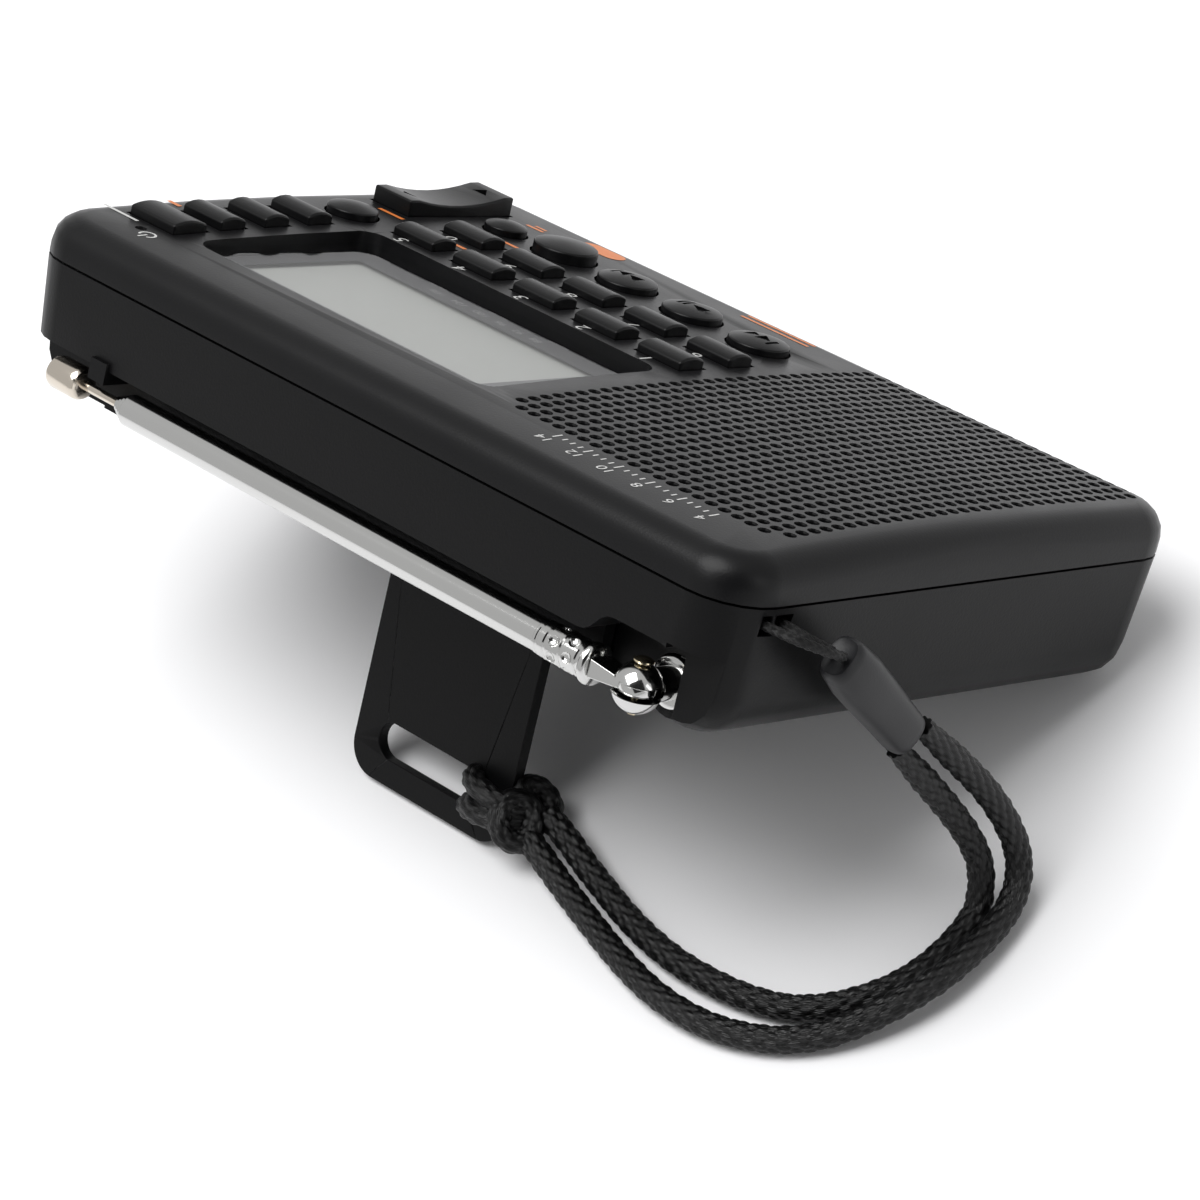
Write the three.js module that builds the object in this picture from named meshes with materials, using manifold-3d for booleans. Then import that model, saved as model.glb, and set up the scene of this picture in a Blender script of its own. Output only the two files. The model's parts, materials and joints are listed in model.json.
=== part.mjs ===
// Pocket world-band radio with a telescopic antenna and a wrist strap.
// It leans back on its open kickstand, with the antenna stowed in its channel.
// Millimetres, +Z up. Everything but the strap is drawn in the case's own frame: origin at the
// middle of the face, +X to the right-hand end, +Y to the top side, +Z straight out of the face.

import * as THREE from 'three';
import { mergeVertices } from 'three/addons/utils/BufferGeometryUtils.js';
import Module from 'manifold-3d';

const wasm = await Module();
wasm.setup();

// ---------------------------------------------------------------- driving dimensions
const CASE_LENGTH = 118;
const CASE_HEIGHT = 79;
const BATTERY_THICKNESS = 5.6;
const OVER_BATTERY = 16.8; // the face, board, sockets and walls that the case has room for besides it
const CASE_DEPTH = BATTERY_THICKNESS + OVER_BATTERY;
const HALF_X = CASE_LENGTH / 2;
const HALF_Y = CASE_HEIGHT / 2;
const BACK = -CASE_DEPTH;
const CORNER_RADIUS = 7;
const WALL = 1.8;
const FACE_EDGE = 3.5; // round between the face and the sides
const BACK_EDGE = 5; // round between the back and the sides
const DRAFT = 0.9; // how far the sides of the rear shell lean in by the back
const PARTING = 6.2; // depth of the parting line below the face
const CROWN_SAG = 0.7; // drop of the crowned face CROWN_REACH away from its highest line
const CROWN_REACH = HALF_Y - CORNER_RADIUS;
const CROWN_Y = -4.5;
const GAP = 0.3; // clearance between touching pieces

// The window and the right-hand column of keys keep their places from the top right-hand corner, the
// rows of keys from the bottom right-hand one, and the loudspeaker from the left-hand end.
const WINDOW = { x: HALF_X - 41.45, y: HALF_Y - 26.3, width: 50.5, height: 29.4, corner: 2.6 };
const LENS_TOP = 1.4; // depth of the lens below the face
const LENS_THICKNESS = 1.2;
const LEDGE = 1.5; // ledge that the lens sits on
const WINDOW_RIM = 1.7;

const KEY_GAP = 0.3; // clearance around a key in its hole
const KEY_LIP = 0.55; // flange that keeps a key in
const KEY_TRAVEL = 0.8;
const FLANGE = 0.8;
const KEY_RISE = 1.5;
const NUMBER_KEY = { width: 7.2, height: 4.3, x: HALF_X - 63.65, pitch: 10.7, rows: [33.3 - HALF_Y,
  24.55 - HALF_Y] };
const ROUND_KEY = { radius: 3.9, x: HALF_X - 61.2, y: 14.6 - HALF_Y, pitch: 11.3 };

const SPEAKER_RADIUS = 18.5;
const SPEAKER = { x: SPEAKER_RADIUS + 7.9 - HALF_X, y: -4.4, radius: SPEAKER_RADIUS };

const HINGE_Y = 11.8; // stand hinge, above the middle of the back
const STAND = { x: 1, width: 26.5, length: 37.5, thickness: 1.6, corner: 4 };
const SLOT = { width: 18.4, height: 4.6, fromFoot: 3.3 };
const PIN_RADIUS = 0.6;

const WHIP_INSET = 1.9; // antenna axis, in from the top side
const WHIP_RISE = 2.8; // and forward of the back
const ELBOW_INSET = 11.7; // elbow, in from the left-hand end
const TUBE_INSET = 21.5; // end of the thick tube, in from the right-hand end
const TUBE_RADIUS = 2;
const TUBE_WALL = 0.2;
const TUBE_CLEARANCE = 0.16;
const SECTION_PULL = 62; // how far each section draws out

const BATTERY = { x: HALF_X - 23.4, y: -3.3, width: 34, height: 52, thickness: BATTERY_THICKNESS };

// ---------------------------------------------------------------- values that follow
const FRONT_BOTTOM = -PARTING + GAP / 2;
const REAR_TOP = -PARTING - GAP / 2;
const FAR = 40; // reach of a cut that runs right out of the case
const WHIP_Y = HALF_Y - WHIP_INSET;
const WHIP_Z = BACK + WHIP_RISE;
const ELBOW_X = -HALF_X + ELBOW_INSET;
const TUBE_END = HALF_X - TUBE_INSET;
const LENS_BOTTOM = LENS_TOP + LENS_THICKNESS;
const LEDGE_Z = -LENS_BOTTOM - GAP;
const RIM_BOTTOM = LEDGE_Z - LEDGE;
const PANEL_THICKNESS = 2;
const PANEL_TOP = LEDGE_Z - GAP;
const SHEET_TOP = PANEL_TOP - PANEL_THICKNESS - GAP;
const SHEET_BOTTOM = SHEET_TOP - 0.8;
const BOARD_TOP = SHEET_BOTTOM - GAP;
const BOARD_BOTTOM = BOARD_TOP - 1.4;

// Depth of the crowned face at a height y.
function crown(y) {
  return -CROWN_SAG * ((y - CROWN_Y) / CROWN_REACH) ** 2;
}

const SECTIONS = 4; // hollow sections, before the solid rod
// Outer radius of a nested section, counted from the thick tube.
function sectionRadius(n) {
  return TUBE_RADIUS - n * (TUBE_WALL + TUBE_CLEARANCE);
}

// ---------------------------------------------------------------- solids
// A closed three.js geometry as a solid that can be cut and joined.
function solid(geometry) {
  geometry.deleteAttribute('normal');
  geometry.deleteAttribute('uv');
  const merged = mergeVertices(geometry, 1e-4);
  const corners = merged.index.array;
  const triangles = [];
  for (let i = 0; i < corners.length; i += 3) {
    const [a, b, c] = [corners[i], corners[i + 1], corners[i + 2]];
    if (a !== b && b !== c && c !== a) triangles.push(a, b, c);
  }
  return new wasm.Manifold(new wasm.Mesh({
    numProp: 3,
    vertProperties: new Float32Array(merged.attributes.position.array),
    triVerts: new Uint32Array(triangles),
  }));
}

function geometryOf(manifold) {
  const mesh = manifold.getMesh();
  const geometry = new THREE.BufferGeometry();
  geometry.setAttribute('position', new THREE.BufferAttribute(mesh.vertProperties, 3));
  geometry.setIndex(new THREE.BufferAttribute(mesh.triVerts, 1));
  geometry.computeVertexNormals();
  return geometry;
}

function box(x0, x1, y0, y1, z0, z1) {
  const geometry = new THREE.BoxGeometry(x1 - x0, y1 - y0, z1 - z0);
  geometry.translate((x0 + x1) / 2, (y0 + y1) / 2, (z0 + z1) / 2);
  return solid(geometry);
}

// Turns a shape drawn along Z so that it runs along X or Y, then moves it.
function place(geometry, along, x, y, z) {
  if (along === 'x') geometry.rotateY(Math.PI / 2);
  if (along === 'y') geometry.rotateX(-Math.PI / 2);
  geometry.translate(x, y, z);
  return geometry;
}

// A cylinder from one end to the other along an axis.
function rod(along, radius, from, to, u, v, sides = 20) {
  const geometry = new THREE.CylinderGeometry(radius, radius, to - from, sides);
  geometry.rotateX(Math.PI / 2);
  const middle = (from + to) / 2;
  const spots = { x: [middle, u, v], y: [u, middle, v], z: [u, v, middle] };
  return solid(place(geometry, along, ...spots[along]));
}

// A profile of [radius, height] points turned about an axis through (x, y, z).
function turned(profile, along, x, y, z, sides = 24) {
  const points = profile.map(([r, h]) => new THREE.Vector2(r, h));
  const geometry = new THREE.LatheGeometry(points, sides);
  geometry.rotateX(Math.PI / 2);
  return solid(place(geometry, along, x, y, z));
}

function roundedRectangle(x, y, width, height, corner) {
  const shape = new THREE.Shape();
  const [w, h] = [width / 2 - corner, height / 2 - corner];
  shape.absarc(x + w, y + h, corner, 0, Math.PI / 2, false);
  shape.absarc(x - w, y + h, corner, Math.PI / 2, Math.PI, false);
  shape.absarc(x - w, y - h, corner, Math.PI, 1.5 * Math.PI, false);
  shape.absarc(x + w, y - h, corner, 1.5 * Math.PI, 2 * Math.PI, false);
  return shape;
}

function slab(shape, z0, z1, curveSegments = 5) {
  const geometry = new THREE.ExtrudeGeometry(shape, { depth: z1 - z0, bevelEnabled: false, curveSegments });
  geometry.translate(0, 0, z0);
  return solid(geometry);
}

// ---------------------------------------------------------------- case outline
const CORNER_STEPS = 5;
const SIDE_STEPS = 4;

// Points round the case at an inset from its sides, anticlockwise seen from the front.
function outline(inset) {
  const radius = Math.max(CORNER_RADIUS - inset, 0.5);
  const [w, h] = [HALF_X - inset - radius, HALF_Y - inset - radius];
  const points = [];
  const corners = [[w, h], [-w, h], [-w, -h], [w, -h]];
  corners.forEach(([cx, cy], index) => {
    for (let k = 0; k <= CORNER_STEPS; k++) {
      const angle = (Math.PI / 2) * (index + k / CORNER_STEPS);
      points.push([cx + radius * Math.cos(angle), cy + radius * Math.sin(angle)]);
    }
    const isEndSide = index === 1 || index === 3; // the two short ends follow the crown
    for (let k = 1; isEndSide && k < SIDE_STEPS; k++) {
      points.push([Math.sign(cx) * (HALF_X - inset), cy * (1 - (2 * k) / SIDE_STEPS)]);
    }
  });
  return points;
}

// A closed solid through levels of {inset, z, crowned}, listed from the lowest up.
function loft(levels) {
  const rings = levels.map(({ inset, z, crowned }) =>
    outline(inset).map(([x, y]) => [x, y, z + (crowned ? crown(y) : 0)]));
  const count = rings[0].length;
  const positions = rings.flat(2);
  const index = [];
  for (let k = 0; k + 1 < rings.length; k++) {
    for (let i = 0; i < count; i++) {
      const [a, b] = [k * count + i, k * count + ((i + 1) % count)];
      index.push(a, b, b + count, a, b + count, a + count);
    }
  }
  const cap = (ring) => THREE.ShapeUtils.triangulateShape(
    rings[ring].map(([x, y]) => new THREE.Vector2(x, y)), []);
  const top = rings.length - 1;
  for (const [a, b, c] of cap(0)) index.push(c, b, a);
  for (const [a, b, c] of cap(top)) index.push(top * count + a, top * count + b, top * count + c);
  const geometry = new THREE.BufferGeometry();
  geometry.setAttribute('position', new THREE.BufferAttribute(new Float32Array(positions), 3));
  geometry.setIndex(index);
  return solid(geometry);
}

const ROUND_STEPS = 4;
const CROWN_INSETS = [9, 17, 26, 35];

// The front shell's outside, or its inside when offset inwards.
function frontForm(offset, bottom) {
  const radius = Math.max(FACE_EDGE - offset, 0.6);
  const levels = [{ inset: offset, z: bottom }];
  for (let k = 0; k <= ROUND_STEPS; k++) {
    const angle = (Math.PI / 2) * (k / ROUND_STEPS);
    const inset = offset + radius * (1 - Math.cos(angle));
    levels.push({ inset, z: -offset - radius * (1 - Math.sin(angle)), crowned: true });
  }
  for (const inset of CROWN_INSETS) {
    if (inset > offset + radius) levels.push({ inset, z: -offset, crowned: true });
  }
  return loft(levels);
}

// The rear shell's outside, or its inside when offset inwards.
function rearForm(offset, top) {
  const radius = BACK_EDGE - offset;
  const levels = [];
  for (let k = 0; k <= ROUND_STEPS; k++) {
    const angle = (Math.PI / 2) * (k / ROUND_STEPS);
    const inset = offset + DRAFT + radius * (1 - Math.sin(angle));
    levels.push({ inset, z: BACK + offset + radius * (1 - Math.cos(angle)) });
  }
  levels.push({ inset: offset, z: top });
  return loft(levels);
}

// ---------------------------------------------------------------- materials
function finish(colour, roughness, metalness = 0) {
  return new THREE.MeshStandardMaterial({ color: colour, roughness, metalness });
}
const BLACK_PLASTIC = finish(0x1b1c1e, 0.55);
const KEY_RUBBER = finish(0x17181a, 0.5);
const CHROME = finish(0xd4d5d8, 0.12, 1);
const STEEL = finish(0x9a9ca0, 0.35, 1);
const GLASS = finish(0x2a2d31, 0.1);
const LCD = finish(0xa9aba7, 0.5);
const BOARD_GREEN = finish(0x1f5a3a, 0.6);
const PAPER = finish(0x1d1c1b, 0.9);
const FERRITE = finish(0x3a3a3e, 0.7);
const COPPER = finish(0xb5672d, 0.4, 0.8);
const BRAID = finish(0x101011, 0.9);
const BEAD_GREY = finish(0x3a3b3e, 0.5);
const BATTERY_WRAP = finish(0x5d6470, 0.5);
const LED_CLEAR = finish(0xb8c0c8, 0.2);

// ---------------------------------------------------------------- scene graph
const radio = new THREE.Group();
const leaning = new THREE.Group(); // the radio at its lean
const strap = new THREE.Group(); // lies on the table
radio.add(leaning, strap);

function addPart(name, shape, material, parent = leaning) {
  const mesh = new THREE.Mesh(shape.isBufferGeometry ? shape : geometryOf(shape), material);
  mesh.name = name;
  parent.add(mesh);
  return mesh;
}

// ---------------------------------------------------------------- keys
// Each key is a cap that stands through the face, with a flange under it.
const keys = [];
NUMBER_KEY.rows.forEach((y, row) => {
  for (let column = 0; column < 5; column++) {
    const digit = (row * 5 + column + 1) % 10;
    const x = NUMBER_KEY.x + column * NUMBER_KEY.pitch;
    keys.push({ name: `number_key_${digit}`, x, y, width: NUMBER_KEY.width, height: NUMBER_KEY.height });
  }
});
const SIDE_KEY = { width: 7.2, height: 4.1 };
const SIDE_KEY_PITCH = 7.2;
keys.push({ name: 'power_key', x: HALF_X - 9.3, y: HALF_Y - 13.4, width: 8.2, height: 5.4 });
['band_key', 'mode_key', 'timer_key'].forEach((name, index) => {
  keys.push({ name, x: HALF_X - 9.7, y: HALF_Y - 20.4 - index * SIDE_KEY_PITCH, ...SIDE_KEY });
});
keys.push({ name: 'volume_key', x: HALF_X - 10, y: HALF_Y - 43.3, radius: 3.3 });
['previous_key', 'play_key', 'next_key'].forEach((name, index) => {
  keys.push({ name, x: ROUND_KEY.x + index * ROUND_KEY.pitch, y: ROUND_KEY.y, radius: ROUND_KEY.radius });
});
keys.push({ name: 'record_key', x: HALF_X - 27.4, y: ROUND_KEY.y, radius: 4.2, rise: 2.1 });
keys.push({ name: 'lock_key', x: HALF_X - 17.9, y: ROUND_KEY.y + 1.3, radius: 2.8 });
const ROCKER = { x: HALF_X - 8.2, y: 17.95 - HALF_Y, width: 6.8, height: 18.7, rise: 2.2, dish: 0.9 };
const KEY_SIDES = 20;
const KEY_CROWN = 0.55; // sag of a bar key's rounded top
const DOME = 0.6; // sag of a round key's domed top

// Bars and discs in the plane of the face, grown all round by a margin.
function keyColumn(key, margin, z0, z1) {
  if (key.radius) return rod('z', key.radius + margin, z0, z1, key.x, key.y, KEY_SIDES);
  const [w, h] = [key.width / 2 + margin, key.height / 2 + margin];
  return box(key.x - w, key.x + w, key.y - h, key.y + h, z0, z1);
}

// Height of the flange's top: under the face where the crowned face is lowest over the key.
function flangeTop(key) {
  const reach = (key.radius ?? key.height / 2) + KEY_LIP;
  return Math.min(crown(key.y + reach), crown(key.y - reach)) - WALL - GAP;
}

// A bar key's crowned section, drawn across the bar and extruded along it.
function barCap(key, bottom, top) {
  const shape = new THREE.Shape();
  const half = key.height / 2;
  shape.moveTo(-half, bottom);
  shape.lineTo(half, bottom);
  for (let k = 0; k <= 6; k++) {
    const across = half * (1 - k / 3);
    shape.lineTo(across, top - KEY_CROWN * (across / half) ** 2);
  }
  const geometry = new THREE.ExtrudeGeometry(shape, { depth: key.width, bevelEnabled: false });
  geometry.applyMatrix4(new THREE.Matrix4().set(0, 0, 1, 0, 1, 0, 0, 0, 0, 1, 0, 0, 0, 0, 0, 1));
  geometry.translate(key.x - key.width / 2, key.y, 0);
  return solid(geometry);
}

function roundCap(key, bottom, top) {
  const profile = [[0, bottom], [key.radius, bottom]];
  for (let k = 0; k < 4; k++) {
    const r = key.radius * (1 - k / 4);
    profile.push([r, top - DOME * (r / key.radius) ** 2]);
  }
  profile.push([0, top]);
  return turned(profile, 'z', key.x, key.y, 0, KEY_SIDES);
}

for (const key of keys) {
  const flange = flangeTop(key);
  const top = crown(key.y) + (key.rise ?? KEY_RISE);
  const cap = key.radius ? roundCap(key, flange - FLANGE, top) : barCap(key, flange - FLANGE, top);
  addPart(key.name, cap.add(keyColumn(key, KEY_LIP, flange - FLANGE, flange)), KEY_RUBBER);
}

// The rocker's section along its length, dished between its two ends.
function rockerSolid() {
  const half = ROCKER.height / 2;
  const bottom = flangeTop({ ...ROCKER }) - FLANGE;
  const top = crown(ROCKER.y) + ROCKER.rise;
  const shape = new THREE.Shape();
  shape.moveTo(-half, bottom);
  shape.lineTo(half, bottom);
  const flat = 0.82; // share of the half length where the dish starts
  shape.lineTo(half, top);
  for (let k = 0; k <= 8; k++) {
    const across = half * flat * (1 - k / 4);
    shape.lineTo(across, top - ROCKER.dish * (1 - (across / (half * flat)) ** 2));
  }
  shape.lineTo(-half, top);
  const geometry = new THREE.ExtrudeGeometry(shape, { depth: ROCKER.width, bevelEnabled: false });
  geometry.applyMatrix4(new THREE.Matrix4().set(0, 0, 1, 0, 1, 0, 0, 0, 0, 1, 0, 0, 0, 0, 0, 1));
  geometry.translate(ROCKER.x - ROCKER.width / 2, ROCKER.y, 0);
  const lip = keyColumn({ ...ROCKER, height: ROCKER.height / 2 }, KEY_LIP, bottom, bottom + FLANGE);
  return solid(geometry).add(lip);
}
addPart('tuning_rocker', rockerSolid(), KEY_RUBBER);

// ---------------------------------------------------------------- case screws
const SCREWS = [
  [10 - HALF_X, 4.9 - HALF_Y],
  [HALF_X - 14.5, 4.9 - HALF_Y],
  [HALF_X - 18, HALF_Y - 9.5],
  [WINDOW.x - WINDOW.width / 2 - 12.3, HALF_Y - 10],
];
const POST = { front: 2, rear: 2.6 };
const SCREW = { shank: 0.8, head: 1.6, headHeight: 1.2, sink: 1.3 };
const POST_JOIN = BOARD_BOTTOM - GAP; // where the front and rear posts meet
const SCREW_TIP = -3.6;

SCREWS.forEach(([x, y], index) => {
  const headTop = BACK + SCREW.sink + SCREW.headHeight;
  const shank = rod('z', SCREW.shank, BACK + SCREW.sink + 0.4, SCREW_TIP, x, y, 12);
  const cross = box(x - 1, x + 1, y - 0.2, y + 0.2, BACK, BACK + SCREW.sink + 0.5)
    .add(box(x - 0.2, x + 0.2, y - 1, y + 1, BACK, BACK + SCREW.sink + 0.5));
  const head = rod('z', SCREW.head, BACK + SCREW.sink, headTop, x, y, 16).subtract(cross);
  addPart(`case_screw_${index + 1}`, head.add(shank.subtract(cross)), STEEL);
});

// ---------------------------------------------------------------- front case
const LED_SPOT = { x: HALF_X - 10.5, y: HALF_Y - 8.1, radius: 0.75 };

function frontCase() {
  let shell = frontForm(0, FRONT_BOTTOM);
  let hollow = frontForm(WALL, FRONT_BOTTOM - 1);
  const rim = slab(roundedRectangle(WINDOW.x, WINDOW.y, WINDOW.width + 2 * WINDOW_RIM,
    WINDOW.height + 2 * WINDOW_RIM, WINDOW.corner + WINDOW_RIM), RIM_BOTTOM, 0);
  hollow = hollow.subtract(rim);
  shell = shell.subtract(hollow);
  for (const [x, y] of SCREWS) {
    const post = rod('z', POST.front, POST_JOIN + GAP, -WALL / 2 - 1, x, y, 16);
    shell = shell.add(post.subtract(rod('z', SCREW.shank + GAP, POST_JOIN, SCREW_TIP + GAP, x, y, 12)));
    shell = shell.subtract(rod('z', SCREW.shank + GAP, POST_JOIN, SCREW_TIP + GAP, x, y, 12));
  }
  const opening = roundedRectangle(WINDOW.x, WINDOW.y, WINDOW.width, WINDOW.height, WINDOW.corner);
  const through = roundedRectangle(WINDOW.x, WINDOW.y, WINDOW.width - 2 * LEDGE,
    WINDOW.height - 2 * LEDGE, WINDOW.corner - LEDGE / 2);
  shell = shell.subtract(slab(opening, LEDGE_Z, 2)).subtract(slab(through, RIM_BOTTOM - 1, 2));
  for (const key of keys) shell = shell.subtract(keyColumn(key, KEY_GAP, RIM_BOTTOM, 2));
  shell = shell.subtract(keyColumn(ROCKER, KEY_GAP, RIM_BOTTOM, 2));
  return shell.subtract(rod('z', LED_SPOT.radius, RIM_BOTTOM, 2, LED_SPOT.x, LED_SPOT.y, 12));
}
addPart('front_case', frontCase(), BLACK_PLASTIC);

// ---------------------------------------------------------------- display
const LENS_GAP = 0.25;
addPart('display_window', slab(roundedRectangle(WINDOW.x, WINDOW.y, WINDOW.width - 2 * LENS_GAP,
  WINDOW.height - 2 * LENS_GAP, WINDOW.corner - LENS_GAP), -LENS_BOTTOM, -LENS_TOP), GLASS);

const PANEL_MARGIN = 2 * (LEDGE + 0.45);
addPart('display_panel', slab(roundedRectangle(WINDOW.x, WINDOW.y, WINDOW.width - PANEL_MARGIN,
  WINDOW.height - PANEL_MARGIN, WINDOW.corner - LEDGE / 2), PANEL_TOP - PANEL_THICKNESS, PANEL_TOP), LCD);

// ---------------------------------------------------------------- rubber key sheet and main board
const POST_HOLE = POST.front + GAP;
const BOARD_LEFT = WINDOW.x - WINDOW.width / 2 - WINDOW_RIM - 1.6;
const BOARD_EDGE = WALL + 1.4; // from the board's edges to the outside of the case

function drilled(plate, z0, z1) {
  return SCREWS.reduce((left, [x, y]) => left.subtract(rod('z', POST_HOLE, z0 - 1, z1 + 1, x, y, 16)), plate);
}

const boardRight = HALF_X - BOARD_EDGE;
const boardTop = HALF_Y - BOARD_EDGE - 4;
const boardBottom = -HALF_Y + BOARD_EDGE;
const sheetColumn = box(WINDOW.x + WINDOW.width / 2 + WINDOW_RIM + GAP, boardRight - 1, boardBottom + 1,
  boardTop - 3, SHEET_BOTTOM, SHEET_TOP);
const sheetRows = box(BOARD_LEFT + 1, boardRight - 1, boardBottom + 1,
  WINDOW.y - WINDOW.height / 2 - WINDOW_RIM - GAP, SHEET_BOTTOM, SHEET_TOP);
addPart('key_sheet', drilled(sheetRows.add(sheetColumn), SHEET_BOTTOM, SHEET_TOP), KEY_RUBBER);
const boardShape = roundedRectangle((BOARD_LEFT + boardRight) / 2, (boardBottom + boardTop) / 2,
  boardRight - BOARD_LEFT, boardTop - boardBottom, CORNER_RADIUS - WALL - GAP);
addPart('main_board', drilled(slab(boardShape, BOARD_BOTTOM, BOARD_TOP), BOARD_BOTTOM, BOARD_TOP),
  BOARD_GREEN);

const ledTop = crown(LED_SPOT.y) - 0.4;
addPart('indicator_led', turned([[0, BOARD_TOP + GAP], [1, BOARD_TOP + GAP], [1, -WALL - 1.6],
  [LED_SPOT.radius - GAP, -WALL - 1.6], [LED_SPOT.radius - GAP, ledTop], [0, ledTop]],
'z', LED_SPOT.x, LED_SPOT.y, 0, 12), LED_CLEAR);

// ---------------------------------------------------------------- speaker
const speakerTop = -WALL - 1;
const BASKET = { rim: 1.6, depth: 9, base: 1, hole: 6.2, seat: 10.4 };
const MAGNET = { radius: 9.5, offBack: 5.6 };
const basketBase = speakerTop - BASKET.depth;
const basket = [[SPEAKER.radius, speakerTop], [SPEAKER.radius - BASKET.rim, speakerTop],
  [SPEAKER.radius - BASKET.rim, speakerTop - 1.4], [BASKET.seat - 1, basketBase + BASKET.base],
  [BASKET.hole, basketBase + BASKET.base], [BASKET.hole, basketBase], [BASKET.seat, basketBase],
  [SPEAKER.radius, speakerTop - 2.4], [SPEAKER.radius, speakerTop]];
const coneRim = SPEAKER.radius - BASKET.rim - 0.6;
const cone = [[0, speakerTop - 5.2], [4, speakerTop - 5.2], [coneRim - 2.4, speakerTop - 0.9],
  [coneRim, speakerTop - 0.5], [coneRim, speakerTop - 1], [coneRim - 2, speakerTop - 1.7],
  [4.4, speakerTop - 6.4], [4.4, speakerTop - 7.6], [0, speakerTop - 7.6]];
addPart('speaker_frame', turned(basket, 'z', SPEAKER.x, SPEAKER.y, 0, 32), STEEL);
addPart('speaker_cone', turned(cone.reverse(), 'z', SPEAKER.x, SPEAKER.y, 0, 32), PAPER);
addPart('speaker_magnet', rod('z', MAGNET.radius, BACK + MAGNET.offBack, basketBase - GAP, SPEAKER.x,
  SPEAKER.y, 32), STEEL);

// ---------------------------------------------------------------- ferrite aerial inside
const FERRITE_ROD = { y: HALF_Y - 17, z: BACK + 7.9, radius: 3.5, from: 25 - HALF_X, to: HALF_X - 47 };
const COIL = { from: FERRITE_ROD.from + 19, length: 13, thickness: 0.9 };
addPart('ferrite_rod', rod('x', FERRITE_ROD.radius, FERRITE_ROD.from, FERRITE_ROD.to, FERRITE_ROD.y,
  FERRITE_ROD.z, 16), FERRITE);
const coil = rod('x', FERRITE_ROD.radius + COIL.thickness, COIL.from, COIL.from + COIL.length, FERRITE_ROD.y,
  FERRITE_ROD.z, 16).subtract(rod('x', FERRITE_ROD.radius + GAP, COIL.from - 1, COIL.from + COIL.length + 1,
  FERRITE_ROD.y, FERRITE_ROD.z, 16));
addPart('ferrite_coil', coil, COPPER);

// ---------------------------------------------------------------- sockets in the right-hand end
const socketFace = HALF_X - 0.9; // sockets end just inside the outer face
const JACK = { y: 20, radius: 2.3, bore: 1.75, depth: 13, bodyWide: 6.4, bodyHalf: 2.2 };
const USB = { y: 6, width: 8.4, height: 3.4, wall: 0.5, depth: 8 };
const CARD = { y: -9, width: 13, height: 2.2, wall: 0.4, depth: 15 };
const SOCKET_Z = BOARD_BOTTOM - JACK.radius - GAP;
const socketCut = HALF_X - 4; // where the holes for the sockets start

const jackBack = HALF_X - JACK.depth;
const jack = box(jackBack, HALF_X - WALL - DRAFT - GAP, JACK.y - JACK.bodyWide / 2,
  JACK.y + JACK.bodyWide / 2,
  SOCKET_Z - JACK.bodyHalf, SOCKET_Z + JACK.bodyHalf)
  .add(rod('x', JACK.radius, jackBack + 4, socketFace, JACK.y, SOCKET_Z, 20))
  .subtract(rod('x', JACK.bore, jackBack + 1, HALF_X, JACK.y, SOCKET_Z, 20));
addPart('headphone_jack', jack, BLACK_PLASTIC);

function socketShell({ y, width, height, wall, depth }) {
  const [w, h] = [width / 2, height / 2];
  const from = HALF_X - depth;
  const outside = box(from, socketFace, y - w, y + w, SOCKET_Z - h, SOCKET_Z + h);
  return outside.subtract(box(from + wall, HALF_X, y - w + wall, y + w - wall, SOCKET_Z - h + wall,
    SOCKET_Z + h - wall));
}
addPart('usb_socket', socketShell(USB), STEEL);
addPart('card_slot', socketShell(CARD), STEEL);

// ---------------------------------------------------------------- rear case
// The antenna lies in it.
const CHANNEL = { y: WHIP_Y - TUBE_RADIUS - 1.7, z: WHIP_Z + TUBE_RADIUS + 1.4, from: ELBOW_X + 9.3 };
const SCOOP = { y: HALF_Y - 7.7, z: WHIP_Z + 6.4, from: ELBOW_X - 4.5, ease: 5 }; // round the antenna's base
const STEP = { y: HALF_Y - 3.1, z: WHIP_Z + 6.8 }; // low block beside the scoop
const CHANNEL_WALL = 1.6;
const BOSS = { radius: 4.1, inner: SCOOP.y - 8, bush: 2.9 };
const PIVOT_Z = BACK + 1.6; // stand hinge axis
const POCKET = { gap: 0.4, depth: 3, above: 1.5, wall: 1.5, cheek: 2.2 };
const BAY_GAP = 0.4;
const BAY_WALL = 1.3;
const COVER_THICKNESS = 1.3;
const STRAP_HOLE = { y: HALF_Y - 7.7, z: -PARTING - 2.1, width: 4.6, height: 2.4, post: 0.4 };
const CLIP = { from: TUBE_END + 3.8, to: TUBE_END + 6.7 };

const bay = {
  x0: BATTERY.x - BATTERY.width / 2 - BAY_GAP,
  x1: BATTERY.x + BATTERY.width / 2 + BAY_GAP,
  y0: BATTERY.y - BATTERY.height / 2 - BAY_GAP,
  y1: BATTERY.y + BATTERY.height / 2 + BAY_GAP + 2.4, // room for the contact block
  top: BACK + COVER_THICKNESS + 0.7 + BATTERY.thickness + BAY_GAP,
};
const pocket = {
  x0: STAND.x - STAND.width / 2 - POCKET.gap,
  x1: STAND.x + STAND.width / 2 + POCKET.gap,
  y0: HINGE_Y - STAND.length - 1,
  y1: HINGE_Y + POCKET.above,
};

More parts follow.
